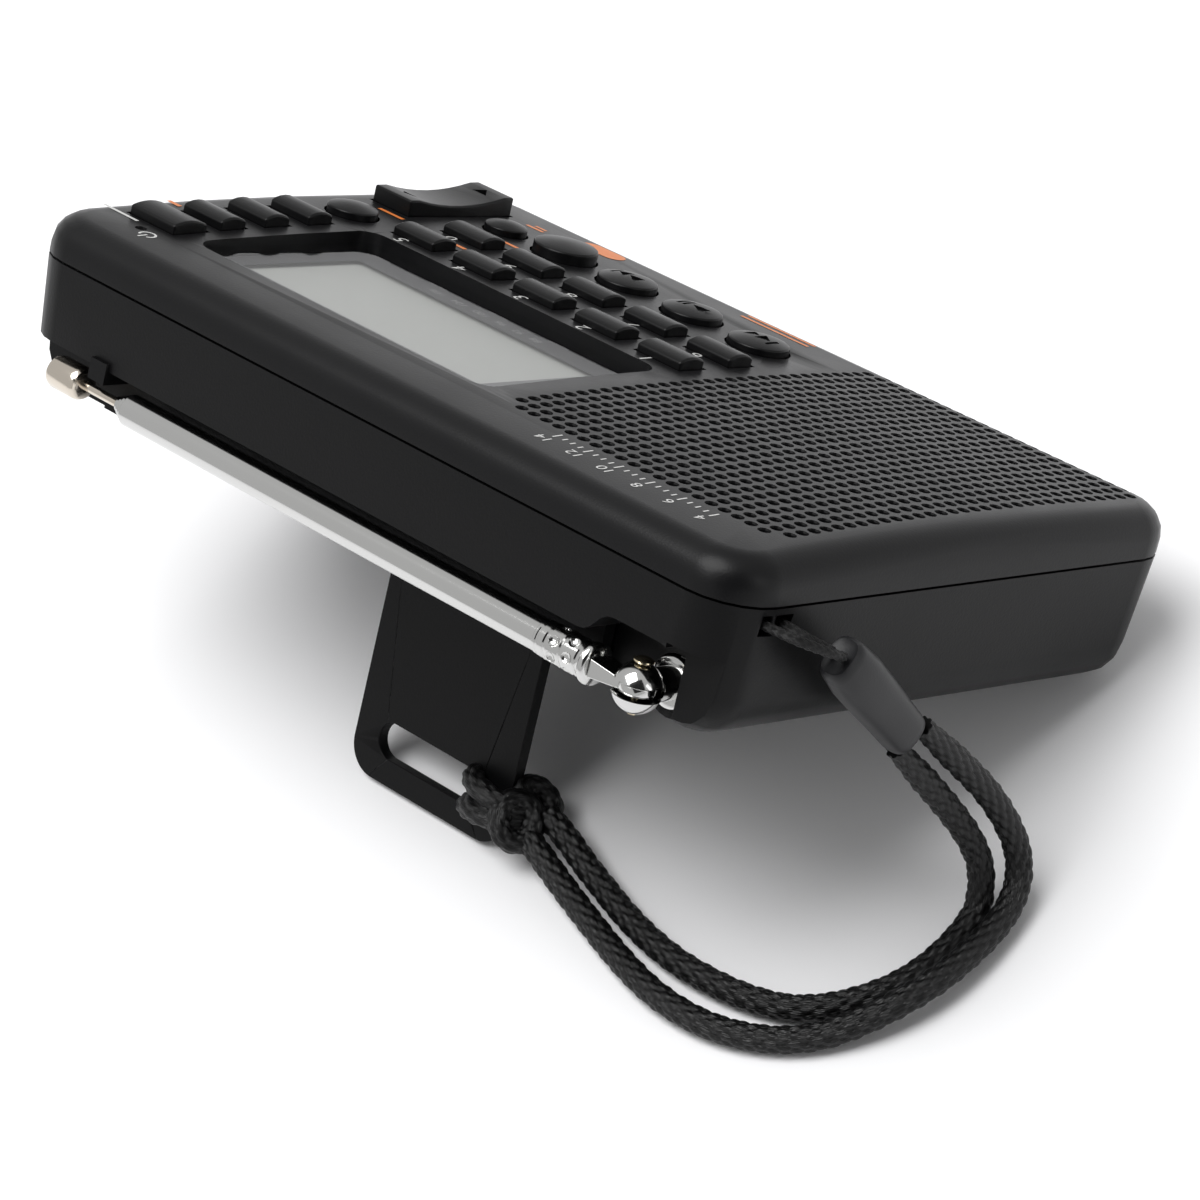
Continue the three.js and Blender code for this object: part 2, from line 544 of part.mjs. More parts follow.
// The scoop's end view: it rises from the channel in a soft wave and ends in a rounded corner.
function scoopShape(margin) {
  const [left, right] = [SCOOP.from - margin, CHANNEL.from];
  const [low, high] = [CHANNEL.z + margin, SCOOP.z + margin];
  const shape = new THREE.Shape();
  shape.moveTo(right, BACK - FAR);
  shape.lineTo(right, low);
  shape.bezierCurveTo(right - SCOOP.ease / 2, low, right - SCOOP.ease / 2, high, right - SCOOP.ease, high);
  shape.lineTo(left + 2, high);
  shape.quadraticCurveTo(left, high, left, high - 2);
  shape.lineTo(left, BACK - FAR);
  return shape;
}

// What the antenna's channel takes away, grown by a margin to leave a wall inside.
function channelCut(margin) {
  const main = box(CHANNEL.from - margin, HALF_X + FAR, CHANNEL.y - margin, HALF_Y + FAR, BACK - FAR,
    CHANNEL.z + margin);
  const scoop = new THREE.ExtrudeGeometry(scoopShape(margin), { depth: FAR, bevelEnabled: false,
    curveSegments: 6 });
  scoop.rotateX(Math.PI / 2);
  scoop.translate(0, SCOOP.y - margin + FAR, 0);
  const step = box(-HALF_X - FAR, SCOOP.from + 1, STEP.y - margin, HALF_Y + FAR, BACK - FAR, STEP.z + margin);
  return main.add(solid(scoop)).add(step);
}

function rearCase() {
  let hollow = rearForm(WALL, REAR_TOP + 1);
  hollow = hollow.subtract(channelCut(CHANNEL_WALL));
  hollow = hollow.subtract(box(pocket.x0 - POCKET.cheek, pocket.x1 + POCKET.cheek, pocket.y0 - POCKET.wall,
    pocket.y1 + POCKET.wall, BACK, BACK + POCKET.depth + POCKET.wall));
  hollow = hollow.subtract(box(bay.x0 - BAY_WALL, bay.x1 + BAY_WALL, bay.y0 - BAY_WALL, bay.y1 + BAY_WALL,
    BACK, bay.top + BAY_WALL));
  hollow = hollow.subtract(box(bay.x0 - BAY_WALL, HALF_X, bay.y0 - BAY_WALL, bay.y1 + BAY_WALL, BACK,
    BACK + COVER_THICKNESS + 2));
  for (const [x, y] of SCREWS) hollow = hollow.subtract(rod('z', POST.rear, BACK, POST_JOIN, x, y, 16));

  let shell = rearForm(0, REAR_TOP).subtract(hollow).subtract(channelCut(0));
  const boss = rod('y', BOSS.radius, BOSS.inner, SCOOP.y, ELBOW_X, WHIP_Z, 24);
  shell = shell.add(boss);
  const fingerBottom = WHIP_Z + sectionRadius(1) + TUBE_CLEARANCE;
  const nubTop = WHIP_Z - sectionRadius(1) * 0.6;
  shell = shell.add(box(CLIP.from, CLIP.to, CHANNEL.y - 1, WHIP_Y + sectionRadius(1), fingerBottom,
    CHANNEL.z + 1));
  shell = shell.add(box(CLIP.from, CLIP.to, CHANNEL.y - 1, WHIP_Y - TUBE_RADIUS, nubTop - 1.3, nubTop));
  const postReach = STRAP_HOLE.height / 2 + 0.1;
  const strapPost = rod('z', STRAP_HOLE.post, STRAP_HOLE.z - postReach, STRAP_HOLE.z + postReach,
    -HALF_X + WALL / 2, STRAP_HOLE.y, 12);
  const cuts = [
    rod('y', BOSS.bush + GAP, BOSS.inner - 3, SCOOP.y + 1, ELBOW_X, WHIP_Z, 24),
    box(pocket.x0, pocket.x1, pocket.y0, pocket.y1, BACK - 1, BACK + POCKET.depth),
    rod('x', PIN_RADIUS + GAP, pocket.x0 - 1.9, pocket.x1 + 1.9, HINGE_Y, PIVOT_Z, 16),
    box(bay.x0, bay.x1, bay.y0, bay.y1, BACK - 1, bay.top),
    box(bay.x0 - BAY_WALL - GAP, HALF_X + FAR, bay.y0 - BAY_WALL - GAP, bay.y1 + BAY_WALL + GAP, BACK - 1,
      BACK + COVER_THICKNESS + GAP),
    box(-HALF_X - 1, -HALF_X + 6, STRAP_HOLE.y - STRAP_HOLE.width / 2, STRAP_HOLE.y + STRAP_HOLE.width / 2,
      STRAP_HOLE.z - STRAP_HOLE.height / 2, STRAP_HOLE.z + STRAP_HOLE.height / 2).subtract(strapPost),
    rod('x', JACK.radius + GAP, socketCut, HALF_X + 1, JACK.y, SOCKET_Z, 20),
    box(socketCut, HALF_X + 1, USB.y - USB.width / 2 - GAP, USB.y + USB.width / 2 + GAP,
      SOCKET_Z - USB.height / 2 - GAP,
      SOCKET_Z + USB.height / 2 + GAP),
    box(socketCut, HALF_X + 1, CARD.y - CARD.width / 2 - GAP, CARD.y + CARD.width / 2 + GAP,
      SOCKET_Z - CARD.height / 2 - GAP, SOCKET_Z + CARD.height / 2 + GAP),
  ];
  for (const [x, y] of SCREWS) {
    cuts.push(rod('z', SCREW.shank + GAP, BACK - 1, POST_JOIN + 1, x, y, 12));
    cuts.push(rod('z', SCREW.head + GAP, BACK - 1, BACK + SCREW.sink + SCREW.headHeight + GAP, x, y, 16));
  }
  for (const cut of cuts) shell = shell.subtract(cut);
  return shell;
}
addPart('rear_case', rearCase(), BLACK_PLASTIC);

const coverBlank = box(bay.x0 - BAY_WALL, HALF_X + 1, bay.y0 - BAY_WALL, bay.y1 + BAY_WALL, BACK - 1,
  BACK + COVER_THICKNESS);
addPart('battery_cover', rearForm(0, REAR_TOP).intersect(coverBlank), BLACK_PLASTIC);

const cellBottom = BACK + COVER_THICKNESS + 0.7;
const cellTop = cellBottom + BATTERY.thickness;
addPart('battery', slab(roundedRectangle(BATTERY.x, BATTERY.y, BATTERY.width, BATTERY.height, 1.5),
  cellBottom,
  cellTop, 3), BATTERY_WRAP);
const contactY = BATTERY.y + BATTERY.height / 2 + GAP;
addPart('battery_contacts', box(BATTERY.x - 6, BATTERY.x + 6, contactY, contactY + 1.8, cellBottom,
  cellTop), STEEL);

// ---------------------------------------------------------------- kickstand
const BARREL_RADIUS = 1.2;
const standFoot = PIVOT_Z - STAND.length;

// The stand is drawn open: a plate straight down from the hinge, with a slot near its foot.
function standSolid() {
  const plate = new THREE.Shape();
  const [left, right] = [STAND.x - STAND.width / 2, STAND.x + STAND.width / 2];
  plate.moveTo(left, 0);
  plate.lineTo(left, -STAND.length + STAND.corner);
  plate.absarc(left + STAND.corner, -STAND.length + STAND.corner, STAND.corner, Math.PI, 1.5 * Math.PI,
    false);
  plate.absarc(right - STAND.corner, -STAND.length + STAND.corner, STAND.corner, 1.5 * Math.PI,
    2 * Math.PI, false);
  plate.lineTo(right, 0);
  plate.closePath();
  const slotMiddle = -STAND.length + SLOT.fromFoot + SLOT.height / 2;
  plate.holes.push(roundedRectangle(STAND.x, slotMiddle, SLOT.width, SLOT.height, SLOT.height / 2 - 0.01));
  const geometry = new THREE.ExtrudeGeometry(plate, { depth: STAND.thickness, bevelEnabled: false,
    curveSegments: 8 });
  geometry.rotateX(Math.PI / 2);
  geometry.translate(0, HINGE_Y + STAND.thickness / 2, PIVOT_Z);
  const barrel = rod('x', BARREL_RADIUS, left, right, HINGE_Y, PIVOT_Z, 20);
  return solid(geometry).add(barrel).subtract(rod('x', PIN_RADIUS + GAP, left - 1, right + 1, HINGE_Y,
    PIVOT_Z, 16));
}
addPart('kickstand', standSolid(), BLACK_PLASTIC);
addPart('kickstand_pin', rod('x', PIN_RADIUS, pocket.x0 - 1.6, pocket.x1 + 1.6, HINGE_Y, PIVOT_Z, 12), STEEL);

// ---------------------------------------------------------------- antenna
const STUD_RADIUS = 1.8;
const COLLAR = { radius: 3, thickness: 1 };
const KNUCKLE_RADIUS = 2.9;
const FORK_SLOT = 0.85; // half the width of the slot that the tongue swings in
const TONGUE = { half: 0.55, radius: 2.1 };
const ELBOW_PIN = 0.5;

const bushOutside = rod('y', BOSS.bush, BOSS.inner, SCOOP.y - 0.6, ELBOW_X, WHIP_Z, 24);
addPart('antenna_bush', bushOutside.subtract(rod('y', STUD_RADIUS + GAP, BOSS.inner - 1, SCOOP.y, ELBOW_X,
  WHIP_Z, 20)), CHROME);

function swivelSolid() {
  const collarY = SCOOP.y - 0.6 + GAP;
  const stud = rod('y', STUD_RADIUS, BOSS.inner - 1.5, WHIP_Y - 1, ELBOW_X, WHIP_Z, 20);
  const foot = rod('y', STUD_RADIUS + 0.7, BOSS.inner - 1.5, BOSS.inner - GAP, ELBOW_X, WHIP_Z, 20);
  const collar = rod('y', COLLAR.radius, collarY, collarY + COLLAR.thickness, ELBOW_X, WHIP_Z, 24);
  const knuckle = new THREE.SphereGeometry(KNUCKLE_RADIUS, 16, 10);
  knuckle.rotateX(Math.PI / 2);
  knuckle.translate(ELBOW_X, WHIP_Y, WHIP_Z);
  const slotFloor = WHIP_Y - TONGUE.radius - GAP;
  const slot = box(ELBOW_X - 5, ELBOW_X + 5, slotFloor, WHIP_Y + 5, WHIP_Z - FORK_SLOT, WHIP_Z + FORK_SLOT);
  return stud.add(foot).add(collar).add(solid(knuckle)).subtract(slot)
    .subtract(rod('z', ELBOW_PIN + GAP, WHIP_Z - 5, WHIP_Z + 5, ELBOW_X, WHIP_Y, 12));
}
addPart('antenna_swivel', swivelSolid(), CHROME);
const pinHead = KNUCKLE_RADIUS + 0.1;
addPart('elbow_pin', turned([[0, -pinHead], [ELBOW_PIN, -pinHead], [ELBOW_PIN, pinHead], [ELBOW_PIN + 0.6,
  pinHead],
  [ELBOW_PIN + 0.4, pinHead + 0.4], [0, pinHead + 0.55]], 'z', ELBOW_X, WHIP_Y, WHIP_Z, 16), CHROME);

const FERRULE = { from: ELBOW_X + 6.6, step: 0.15 };

function outerTube() {
  const bore = TUBE_RADIUS - TUBE_WALL;
  const ferruleEnd = FERRULE.from + 7;
  const length = TUBE_END - FERRULE.from;
  const profile = [[0, 0], [TUBE_RADIUS + FERRULE.step, 0], [TUBE_RADIUS + FERRULE.step,
    ferruleEnd - FERRULE.from],
    [TUBE_RADIUS, ferruleEnd - FERRULE.from + 0.3], [TUBE_RADIUS, length], [bore, length], [bore, 2], [0, 2]];
  const neck = box(ELBOW_X + 1, FERRULE.from + 1, WHIP_Y - 1.1, WHIP_Y + 1.1, WHIP_Z - TONGUE.half,
    WHIP_Z + TONGUE.half);
  const tongue = rod('z', TONGUE.radius, WHIP_Z - TONGUE.half, WHIP_Z + TONGUE.half, ELBOW_X, WHIP_Y, 20);
  return turned(profile, 'x', FERRULE.from, WHIP_Y, WHIP_Z, 20).add(neck).add(tongue)
    .subtract(rod('z', ELBOW_PIN + 0.15, WHIP_Z - 5, WHIP_Z + 5, ELBOW_X, WHIP_Y, 12));
}
addPart('antenna_tube_1', outerTube(), CHROME);

const SECTION_STEP = 0.7; // each section shows this much of its end
for (let n = 1; n < SECTIONS; n++) {
  const [outside, inside] = [sectionRadius(n), sectionRadius(n) - TUBE_WALL];
  const from = FERRULE.from + 2 + n * SECTION_STEP;
  const length = TUBE_END + n * SECTION_STEP - from;
  const profile = [[inside, 0], [outside, 0], [outside, length], [inside, length], [inside, 0]];
  addPart(`antenna_tube_${n + 1}`, turned(profile, 'x', from, WHIP_Y, WHIP_Z, 20), CHROME);
}
const CAP = { from: TUBE_END + 8.5, to: TUBE_END + 13.8, radius: TUBE_RADIUS + 0.1 };
const tipRadius = sectionRadius(SECTIONS);
const tipFrom = FERRULE.from + 2 + SECTIONS * SECTION_STEP;
const tipProfile = [[0, tipFrom], [tipRadius, tipFrom], [tipRadius, CAP.from], [CAP.radius - 0.3, CAP.from],
  [CAP.radius, CAP.from + 0.3], [CAP.radius, CAP.to - 0.4], [CAP.radius - 0.4, CAP.to], [0, CAP.to]];
addPart('antenna_tip', turned(tipProfile, 'x', 0, WHIP_Y, WHIP_Z, 20), CHROME);

// ---------------------------------------------------------------- strap: loop and bead
const LOOP_RADIUS = 0.6;
const BEAD = { out: 5, down: 15.7, back: 11.1 }; // how far it stands off the case, and its slope
const BEAD_PROFILE = [[0, 0], [2.1, 0], [2.6, 0.7], [3.05, 4.5], [3.05, 12], [2.7, 17.9], [2.2, 18.6], [0,
  18.6]];

const CORD_SIDES = 8;

// A closed tube along a smooth curve through the points.
function cord(points, radius, steps, closed = false) {
  const path = new THREE.CatmullRomCurve3(points.map((point) => new THREE.Vector3(...point)), closed,
    'centripetal');
  const section = new THREE.Shape();
  for (let k = 0; k < CORD_SIDES; k++) {
    const angle = (2 * Math.PI * k) / CORD_SIDES;
    section[k ? 'lineTo' : 'moveTo'](radius * Math.cos(angle), radius * Math.sin(angle));
  }
  return solid(new THREE.ExtrudeGeometry(section, { steps, bevelEnabled: false, extrudePath: path }));
}

const beadX = -HALF_X - BEAD.out;
const [holeY, holeZ] = [STRAP_HOLE.y, STRAP_HOLE.z];
const loopRoute = [
  [beadX - 0.85, holeY - 4.8, holeZ - 1.6], [beadX - 0.5, holeY - 2.4, holeZ - 0.9], [beadX + 1.4,
    holeY + 0.4, holeZ - 0.2],
  [-HALF_X - 0.5, holeY + 1.3, holeZ], [-HALF_X + 2.4, holeY + 1.3, holeZ], [-HALF_X + 3.8, holeY, holeZ],
  [-HALF_X + 2.4, holeY - 1.3, holeZ], [-HALF_X - 0.5, holeY - 1.3, holeZ], [beadX + 2.2, holeY - 2.2,
    holeZ - 0.5],
  [beadX + 1, holeY - 3.6, holeZ - 1.1], [beadX + 0.85, holeY - 4.8, holeZ - 1.6],
];
addPart('strap_loop', cord(loopRoute, LOOP_RADIUS, 30), BRAID);

const bead = turned(BEAD_PROFILE, 'z', 0, 0, 0, 8);
const beadGeometry = geometryOf(bead);
beadGeometry.rotateX(Math.PI / 2 + Math.atan2(BEAD.back, BEAD.down));
beadGeometry.translate(beadX, holeY - 5.2, holeZ - 1.9);
addPart('strap_bead', beadGeometry, BEAD_GREY);

// ---------------------------------------------------------------- lean and rest on the table
// The bottom back edge and the stand's foot both touch the table, so they set the lean.
const edgeCentre = { y: -HALF_Y + DRAFT + BACK_EDGE, z: BACK + BACK_EDGE };
const footCorner = { y: HINGE_Y + STAND.thickness / 2, z: standFoot };
const run = footCorner.y - edgeCentre.y;
const drop = edgeCentre.z - footCorner.z;
const lean = Math.atan2(drop, run) - Math.asin(BACK_EDGE / Math.hypot(run, drop));
leaning.rotation.x = lean;
leaning.updateMatrixWorld(true);
const bounds = new THREE.Box3();
leaning.traverse((part) => {
  if (part.isMesh && !part.name.startsWith('strap')) bounds.union(new THREE.Box3().setFromObject(part, true));
});
leaning.position.set(-(bounds.min.x + bounds.max.x) / 2, -(bounds.min.y + bounds.max.y) / 2, -bounds.min.z);

// ---------------------------------------------------------------- strap: knot on the stand and two free strands
const STRAND_RADIUS = 1.65;
const webX = STAND.x - (STAND.width + SLOT.width) / 4; // web between the slot and the stand's edge
const webWidth = (STAND.width - SLOT.width) / 2;
const knotRadius = Math.hypot(webWidth, STAND.thickness) / 2 + GAP + STRAND_RADIUS;
const knot = new THREE.TorusGeometry(knotRadius, STRAND_RADIUS, 10, 20);
knot.translate(webX, HINGE_Y, standFoot + SLOT.fromFoot + SLOT.height / 2);
addPart('strap_knot', solid(knot), BRAID);

// The strands' centre lines from the bead down to the table, round in a loop and back to the knot.
const STRAND_A = [
  [-64.6, 12, 29.9], [-65, 10.4, 25.5], [-65.6, 8.7, 20.8], [-66.6, 7.2, 15.8], [-67.7, 6.5, 11],
  [-68.8, 6.8, 7.2], [-69.9, 8.4, 4.6], [-70.8, 11.2, 3.2], [-71.4, 15, 2.9], [-71.6, 19.5, 3.2],
  [-71.2, 24.2, 3.4], [-69.8, 28.8, 3.3], [-67.5, 33, 2.7], [-64.5, 36.7, 2], [-60.8, 39.6, 1.7],
  [-56.6, 41.6, 1.7], [-52.2, 42.7, 1.7], [-47.8, 43, 1.7], [-43.4, 42.7, 1.7], [-39.2, 41.9, 1.7],
  [-35, 40.8, 1.7], [-31, 39.6, 1.8], [-27, 38.4, 2.1], [-23.4, 37.3, 2.6], [-19.8, 36.2, 3.4], [-16.6,
    35.3, 4.4],
];
const STRAND_B = [
  [-63.4, 15.3, 28.8], [-63.6, 13.9, 24.4], [-63.9, 12.4, 19.6], [-64.5, 11.1, 14.8], [-65.3, 10.3, 10.4],
  [-66.2, 10.4, 6.8], [-67, 11.7, 4.2], [-67.6, 13.7, 2.4], [-67.9, 16.4, 1.8], [-68, 19.7, 1.7],
  [-67.6, 23.4, 1.7], [-66.4, 27.1, 1.7], [-64.3, 30.6, 1.7], [-61.7, 33.5, 1.7], [-58.5, 35.7, 1.7],
  [-55, 36.9, 1.7], [-51.2, 37.6, 1.7], [-47.2, 37.9, 1.7], [-43.3, 37.9, 1.7], [-39.4, 37.5, 1.7],
  [-35.6, 36.8, 1.7], [-31.9, 35.9, 1.8], [-28.1, 34.8, 2.1], [-24.2, 33.7, 2.7], [-20.4, 32.5, 3.6],
  [-16.6, 31.6, 4.7],
];
const STRAND_STEPS = 40;
addPart('strap_strand_a', cord(STRAND_A, STRAND_RADIUS, STRAND_STEPS), BRAID, strap);
addPart('strap_strand_b', cord(STRAND_B, STRAND_RADIUS, STRAND_STEPS), BRAID, strap);

export default radio;
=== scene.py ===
# Pocket world-band radio, leaning back on its open kickstand with the antenna stowed and the wrist strap
# looped round to the stand. Metres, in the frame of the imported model.
import json
import math

import bmesh
import bpy
import numpy as np
from mathutils import Matrix, Vector


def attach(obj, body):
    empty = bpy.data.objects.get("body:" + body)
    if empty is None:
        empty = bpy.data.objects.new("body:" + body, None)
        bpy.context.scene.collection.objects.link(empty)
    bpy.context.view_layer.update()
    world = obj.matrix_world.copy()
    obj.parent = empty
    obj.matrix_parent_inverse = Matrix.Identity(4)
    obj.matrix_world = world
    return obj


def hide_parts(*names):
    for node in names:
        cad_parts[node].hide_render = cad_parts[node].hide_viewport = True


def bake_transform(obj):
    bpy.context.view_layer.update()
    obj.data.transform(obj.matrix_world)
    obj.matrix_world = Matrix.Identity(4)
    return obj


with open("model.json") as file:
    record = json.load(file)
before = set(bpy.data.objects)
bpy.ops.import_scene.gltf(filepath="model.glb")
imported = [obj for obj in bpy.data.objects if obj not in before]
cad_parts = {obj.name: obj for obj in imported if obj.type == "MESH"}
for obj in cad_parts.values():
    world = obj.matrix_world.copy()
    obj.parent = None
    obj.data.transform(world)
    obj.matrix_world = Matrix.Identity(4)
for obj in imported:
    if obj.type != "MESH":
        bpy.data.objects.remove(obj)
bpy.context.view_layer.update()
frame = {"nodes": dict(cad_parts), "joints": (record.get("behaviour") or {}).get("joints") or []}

# ------------------------------------------------------------------ camera, table and light
# A long lens looks down over the antenna side, rolled so that the radio runs across the view.
# The table is a plain pale sheet under a broad overhead light and a weak one from the side.
MM = 0.001

camera_data = bpy.data.cameras.new("camera")
camera_data.lens = 134.4
camera_data.sensor_width = 36
camera = bpy.data.objects.new("camera", camera_data)
bpy.context.collection.objects.link(camera)
camera_place = Vector((-331.2, 219.9, 382.5)) * MM
camera_target = Vector((-39.23, 29.91, 52.24)) * MM
look = (camera_target - camera_place).to_track_quat("-Z", "Y").to_matrix().to_4x4()
CAMERA_ROLL = math.radians(-18.49)
camera.matrix_world = Matrix.Translation(camera_place) @ look @ Matrix.Rotation(CAMERA_ROLL, 4, "Z")
bpy.context.scene.camera = camera


def new_piece(name, shape, material, body=None, node=None):
    """A finished bmesh as an object that rides on a body and may stand for a CAD node."""
    mesh = bpy.data.meshes.new(name)
    shape.to_mesh(mesh)
    shape.free()
    piece = bpy.data.objects.new(name, mesh)
    bpy.context.collection.objects.link(piece)
    mesh.materials.append(material)
    if body:
        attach(piece, body)
    if node:
        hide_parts(node)
    return piece


def bare_material(name, colour, roughness, metallic=0.0, gloss=0.5):
    material = bpy.data.materials.new(name)
    material.use_nodes = True
    shader = material.node_tree.nodes["Principled BSDF"]
    shader.inputs["Base Color"].default_value = (*colour, 1)
    shader.inputs["Roughness"].default_value = roughness
    shader.inputs["Metallic"].default_value = metallic
    shader.inputs["Specular IOR Level"].default_value = gloss
    return material


def add_grain(material, size, depth, spread=0.0, stretch=(1, 1, 1)):
    """Fine surface grain: bumps of a size and depth in mm, with the roughness varied by spread."""
    nodes, links = material.node_tree.nodes, material.node_tree.links
    shader = nodes["Principled BSDF"]
    coordinates = nodes.new("ShaderNodeTexCoord")
    mapping = nodes.new("ShaderNodeMapping")
    mapping.inputs["Scale"].default_value = stretch
    grain = nodes.new("ShaderNodeTexNoise")
    grain.inputs["Scale"].default_value = 1 / (size * MM)
    grain.inputs["Detail"].default_value = 3
    bump = nodes.new("ShaderNodeBump")
    bump.inputs["Distance"].default_value = depth * MM
    links.new(coordinates.outputs["Object"], mapping.inputs["Vector"])
    links.new(mapping.outputs["Vector"], grain.inputs["Vector"])
    links.new(grain.outputs["Fac"], bump.inputs["Height"])
    links.new(bump.outputs["Normal"], shader.inputs["Normal"])
    if spread:
        wear = nodes.new("ShaderNodeTexNoise")
        wear.inputs["Scale"].default_value = 1 / (9 * MM)
        wear.inputs["Detail"].default_value = 5
        limits = nodes.new("ShaderNodeMapRange")
        base = shader.inputs["Roughness"].default_value
        limits.inputs["To Min"].default_value = base - spread
        limits.inputs["To Max"].default_value = base + spread
        links.new(mapping.outputs["Vector"], wear.inputs["Vector"])
        links.new(wear.outputs["Fac"], limits.inputs["Value"])
        links.new(limits.outputs["Result"], shader.inputs["Roughness"])
    return material


table_material = bare_material("table_sheet", (0.93, 0.93, 0.94), 0.6)
TABLE_HALF = 3
sheet = bmesh.new()
bmesh.ops.create_grid(sheet, x_segments=1, y_segments=1, size=TABLE_HALF)
table = new_piece("table", sheet, table_material)

# A dark card, unseen by the camera itself, stands behind it. It keeps the near sides of the radio black
# and gives the chrome its dark half.
CARD_HALF, CARD_REACH = 0.42, 0.75  # half its side, and how far it stands from the radio
card_shape = bmesh.new()
bmesh.ops.create_grid(card_shape, x_segments=1, y_segments=1, size=CARD_HALF)
card_place = camera_target + (camera_place - camera_target).normalized() * CARD_REACH
card_shape.transform(Matrix.Translation(card_place) @ look)
dark_card = new_piece("dark_card", card_shape, bare_material("dark_cloth", (0.01, 0.01, 0.01), 0.9))
dark_card.visible_camera = False

world = bpy.data.worlds.new("studio")
world.use_nodes = True
world.node_tree.nodes["Background"].inputs["Color"].default_value = (1, 1, 1, 1)
world.node_tree.nodes["Background"].inputs["Strength"].default_value = 0.62
bpy.context.scene.world = world
bpy.context.scene.view_settings.view_transform = "Standard"


def area_light(name, place, target, size, power):
    data = bpy.data.lights.new(name, "AREA")
    data.shape = "RECTANGLE"
    data.size, data.size_y = size
    data.energy = power
    light = bpy.data.objects.new(name, data)
    bpy.context.collection.objects.link(light)
    light.location = place
    light.rotation_euler = (Vector(target) - Vector(place)).to_track_quat("-Z", "Y").to_euler()


area_light("overhead_light", (0.1, 0.15, 0.95), (0, 0.02, 0), (0.7, 0.7), 9)
area_light("side_light", (-0.9, -0.2, 0.3), (-0.03, 0.01, 0.03), (0.2, 0.5), 0.4)

# ------------------------------------------------------------------ strap strands
# The wrist strap is one hollow braided cord, about 3.3 mm thick, doubled at the bead. Both strands run
# down from the bead, lie on the table in a loop and end in the knot round the web of the stand.
STRAND_RADIUS = 1.65
BRAID_BUMP = 0.5  # height of the yarns, mm
STRAND_A = [
    (-64.6, 12, 29.9), (-65, 10.4, 25.5), (-65.6, 8.7, 20.8), (-66.6, 7.2, 15.8), (-67.7, 6.5, 11),
    (-68.8, 6.8, 7.2), (-69.9, 8.4, 4.6), (-70.8, 11.2, 3.2), (-71.4, 15, 2.9), (-71.6, 19.5, 3.2),
    (-71.2, 24.2, 3.4), (-69.8, 28.8, 3.3), (-67.5, 33, 2.7), (-64.5, 36.7, 2), (-60.8, 39.6, 1.7),
    (-56.6, 41.6, 1.7), (-52.2, 42.7, 1.7), (-47.8, 43, 1.7), (-43.4, 42.7, 1.7), (-39.2, 41.9, 1.7),
    (-35, 40.8, 1.7), (-31, 39.6, 1.8), (-27, 38.4, 2.1), (-23.4, 37.3, 2.6), (-19.8, 36.2, 3.4),
    (-16.6, 35.3, 4.4),
]
STRAND_B = [
    (-63.4, 15.3, 28.8), (-63.6, 13.9, 24.4), (-63.9, 12.4, 19.6), (-64.5, 11.1, 14.8), (-65.3, 10.3, 10.4),
    (-66.2, 10.4, 6.8), (-67, 11.7, 4.2), (-67.6, 13.7, 2.4), (-67.9, 16.4, 1.8), (-68, 19.7, 1.7),
    (-67.6, 23.4, 1.7), (-66.4, 27.1, 1.7), (-64.3, 30.6, 1.7), (-61.7, 33.5, 1.7), (-58.5, 35.7, 1.7),
    (-55, 36.9, 1.7), (-51.2, 37.6, 1.7), (-47.2, 37.9, 1.7), (-43.3, 37.9, 1.7), (-39.4, 37.5, 1.7),
    (-35.6, 36.8, 1.7), (-31.9, 35.9, 1.8), (-28.1, 34.8, 2.1), (-24.2, 33.7, 2.7), (-20.4, 32.5, 3.6),
    (-16.6, 31.6, 4.7),
]


def smooth_route(points, step, closed=False):
    """Evenly spaced points along a smooth curve through the given points."""
    p = np.array(points, float)
    if closed:
        p = np.vstack([p[-1], p, p[0], p[1]])
    else:
        p = np.vstack([2 * p[0] - p[1], p, 2 * p[-1] - p[-2]])
    t = np.linspace(0, 1, 24, endpoint=False)[:, None]
    runs = []
    for a, b, c, d in zip(p, p[1:], p[2:], p[3:]):
        bend, twist = 2 * a - 5 * b + 4 * c - d, 3 * b - a - 3 * c + d
        runs.append(0.5 * (2 * b + (c - a) * t + bend * t**2 + twist * t**3))
    fine = np.vstack(runs + [p[-2:-1]])
    along = np.concatenate([[0], np.cumsum(np.linalg.norm(np.diff(fine, axis=0), axis=1))])
    count = max(int(round(along[-1] / step)), 8)
    spots = np.linspace(0, along[-1], count + 1)
    return np.stack([np.interp(spots, along, fine[:, k]) for k in range(3)], axis=1), along[-1]


def braid_height(around, along, yarns, pitch):
    """Height from 0 to 1 of an over-one, under-one tubular braid at an angle and a length along it."""
    left = yarns * around / (2 * np.pi) + along / pitch
    right = yarns * around / (2 * np.pi) - along / pitch
    left_round = np.sqrt(np.clip(1 - (2 * (left % 1) - 1) ** 2, 0, 1))
    right_round = np.sqrt(np.clip(1 - (2 * (right % 1) - 1) ** 2, 0, 1))
    left_over = np.cos(np.pi * (right - 0.5 - np.floor(left)))
    right_over = -np.cos(np.pi * (left - 0.5 - np.floor(right)))
    return np.maximum(left_round * (0.55 + 0.45 * left_over), right_round * (0.55 + 0.45 * right_over))


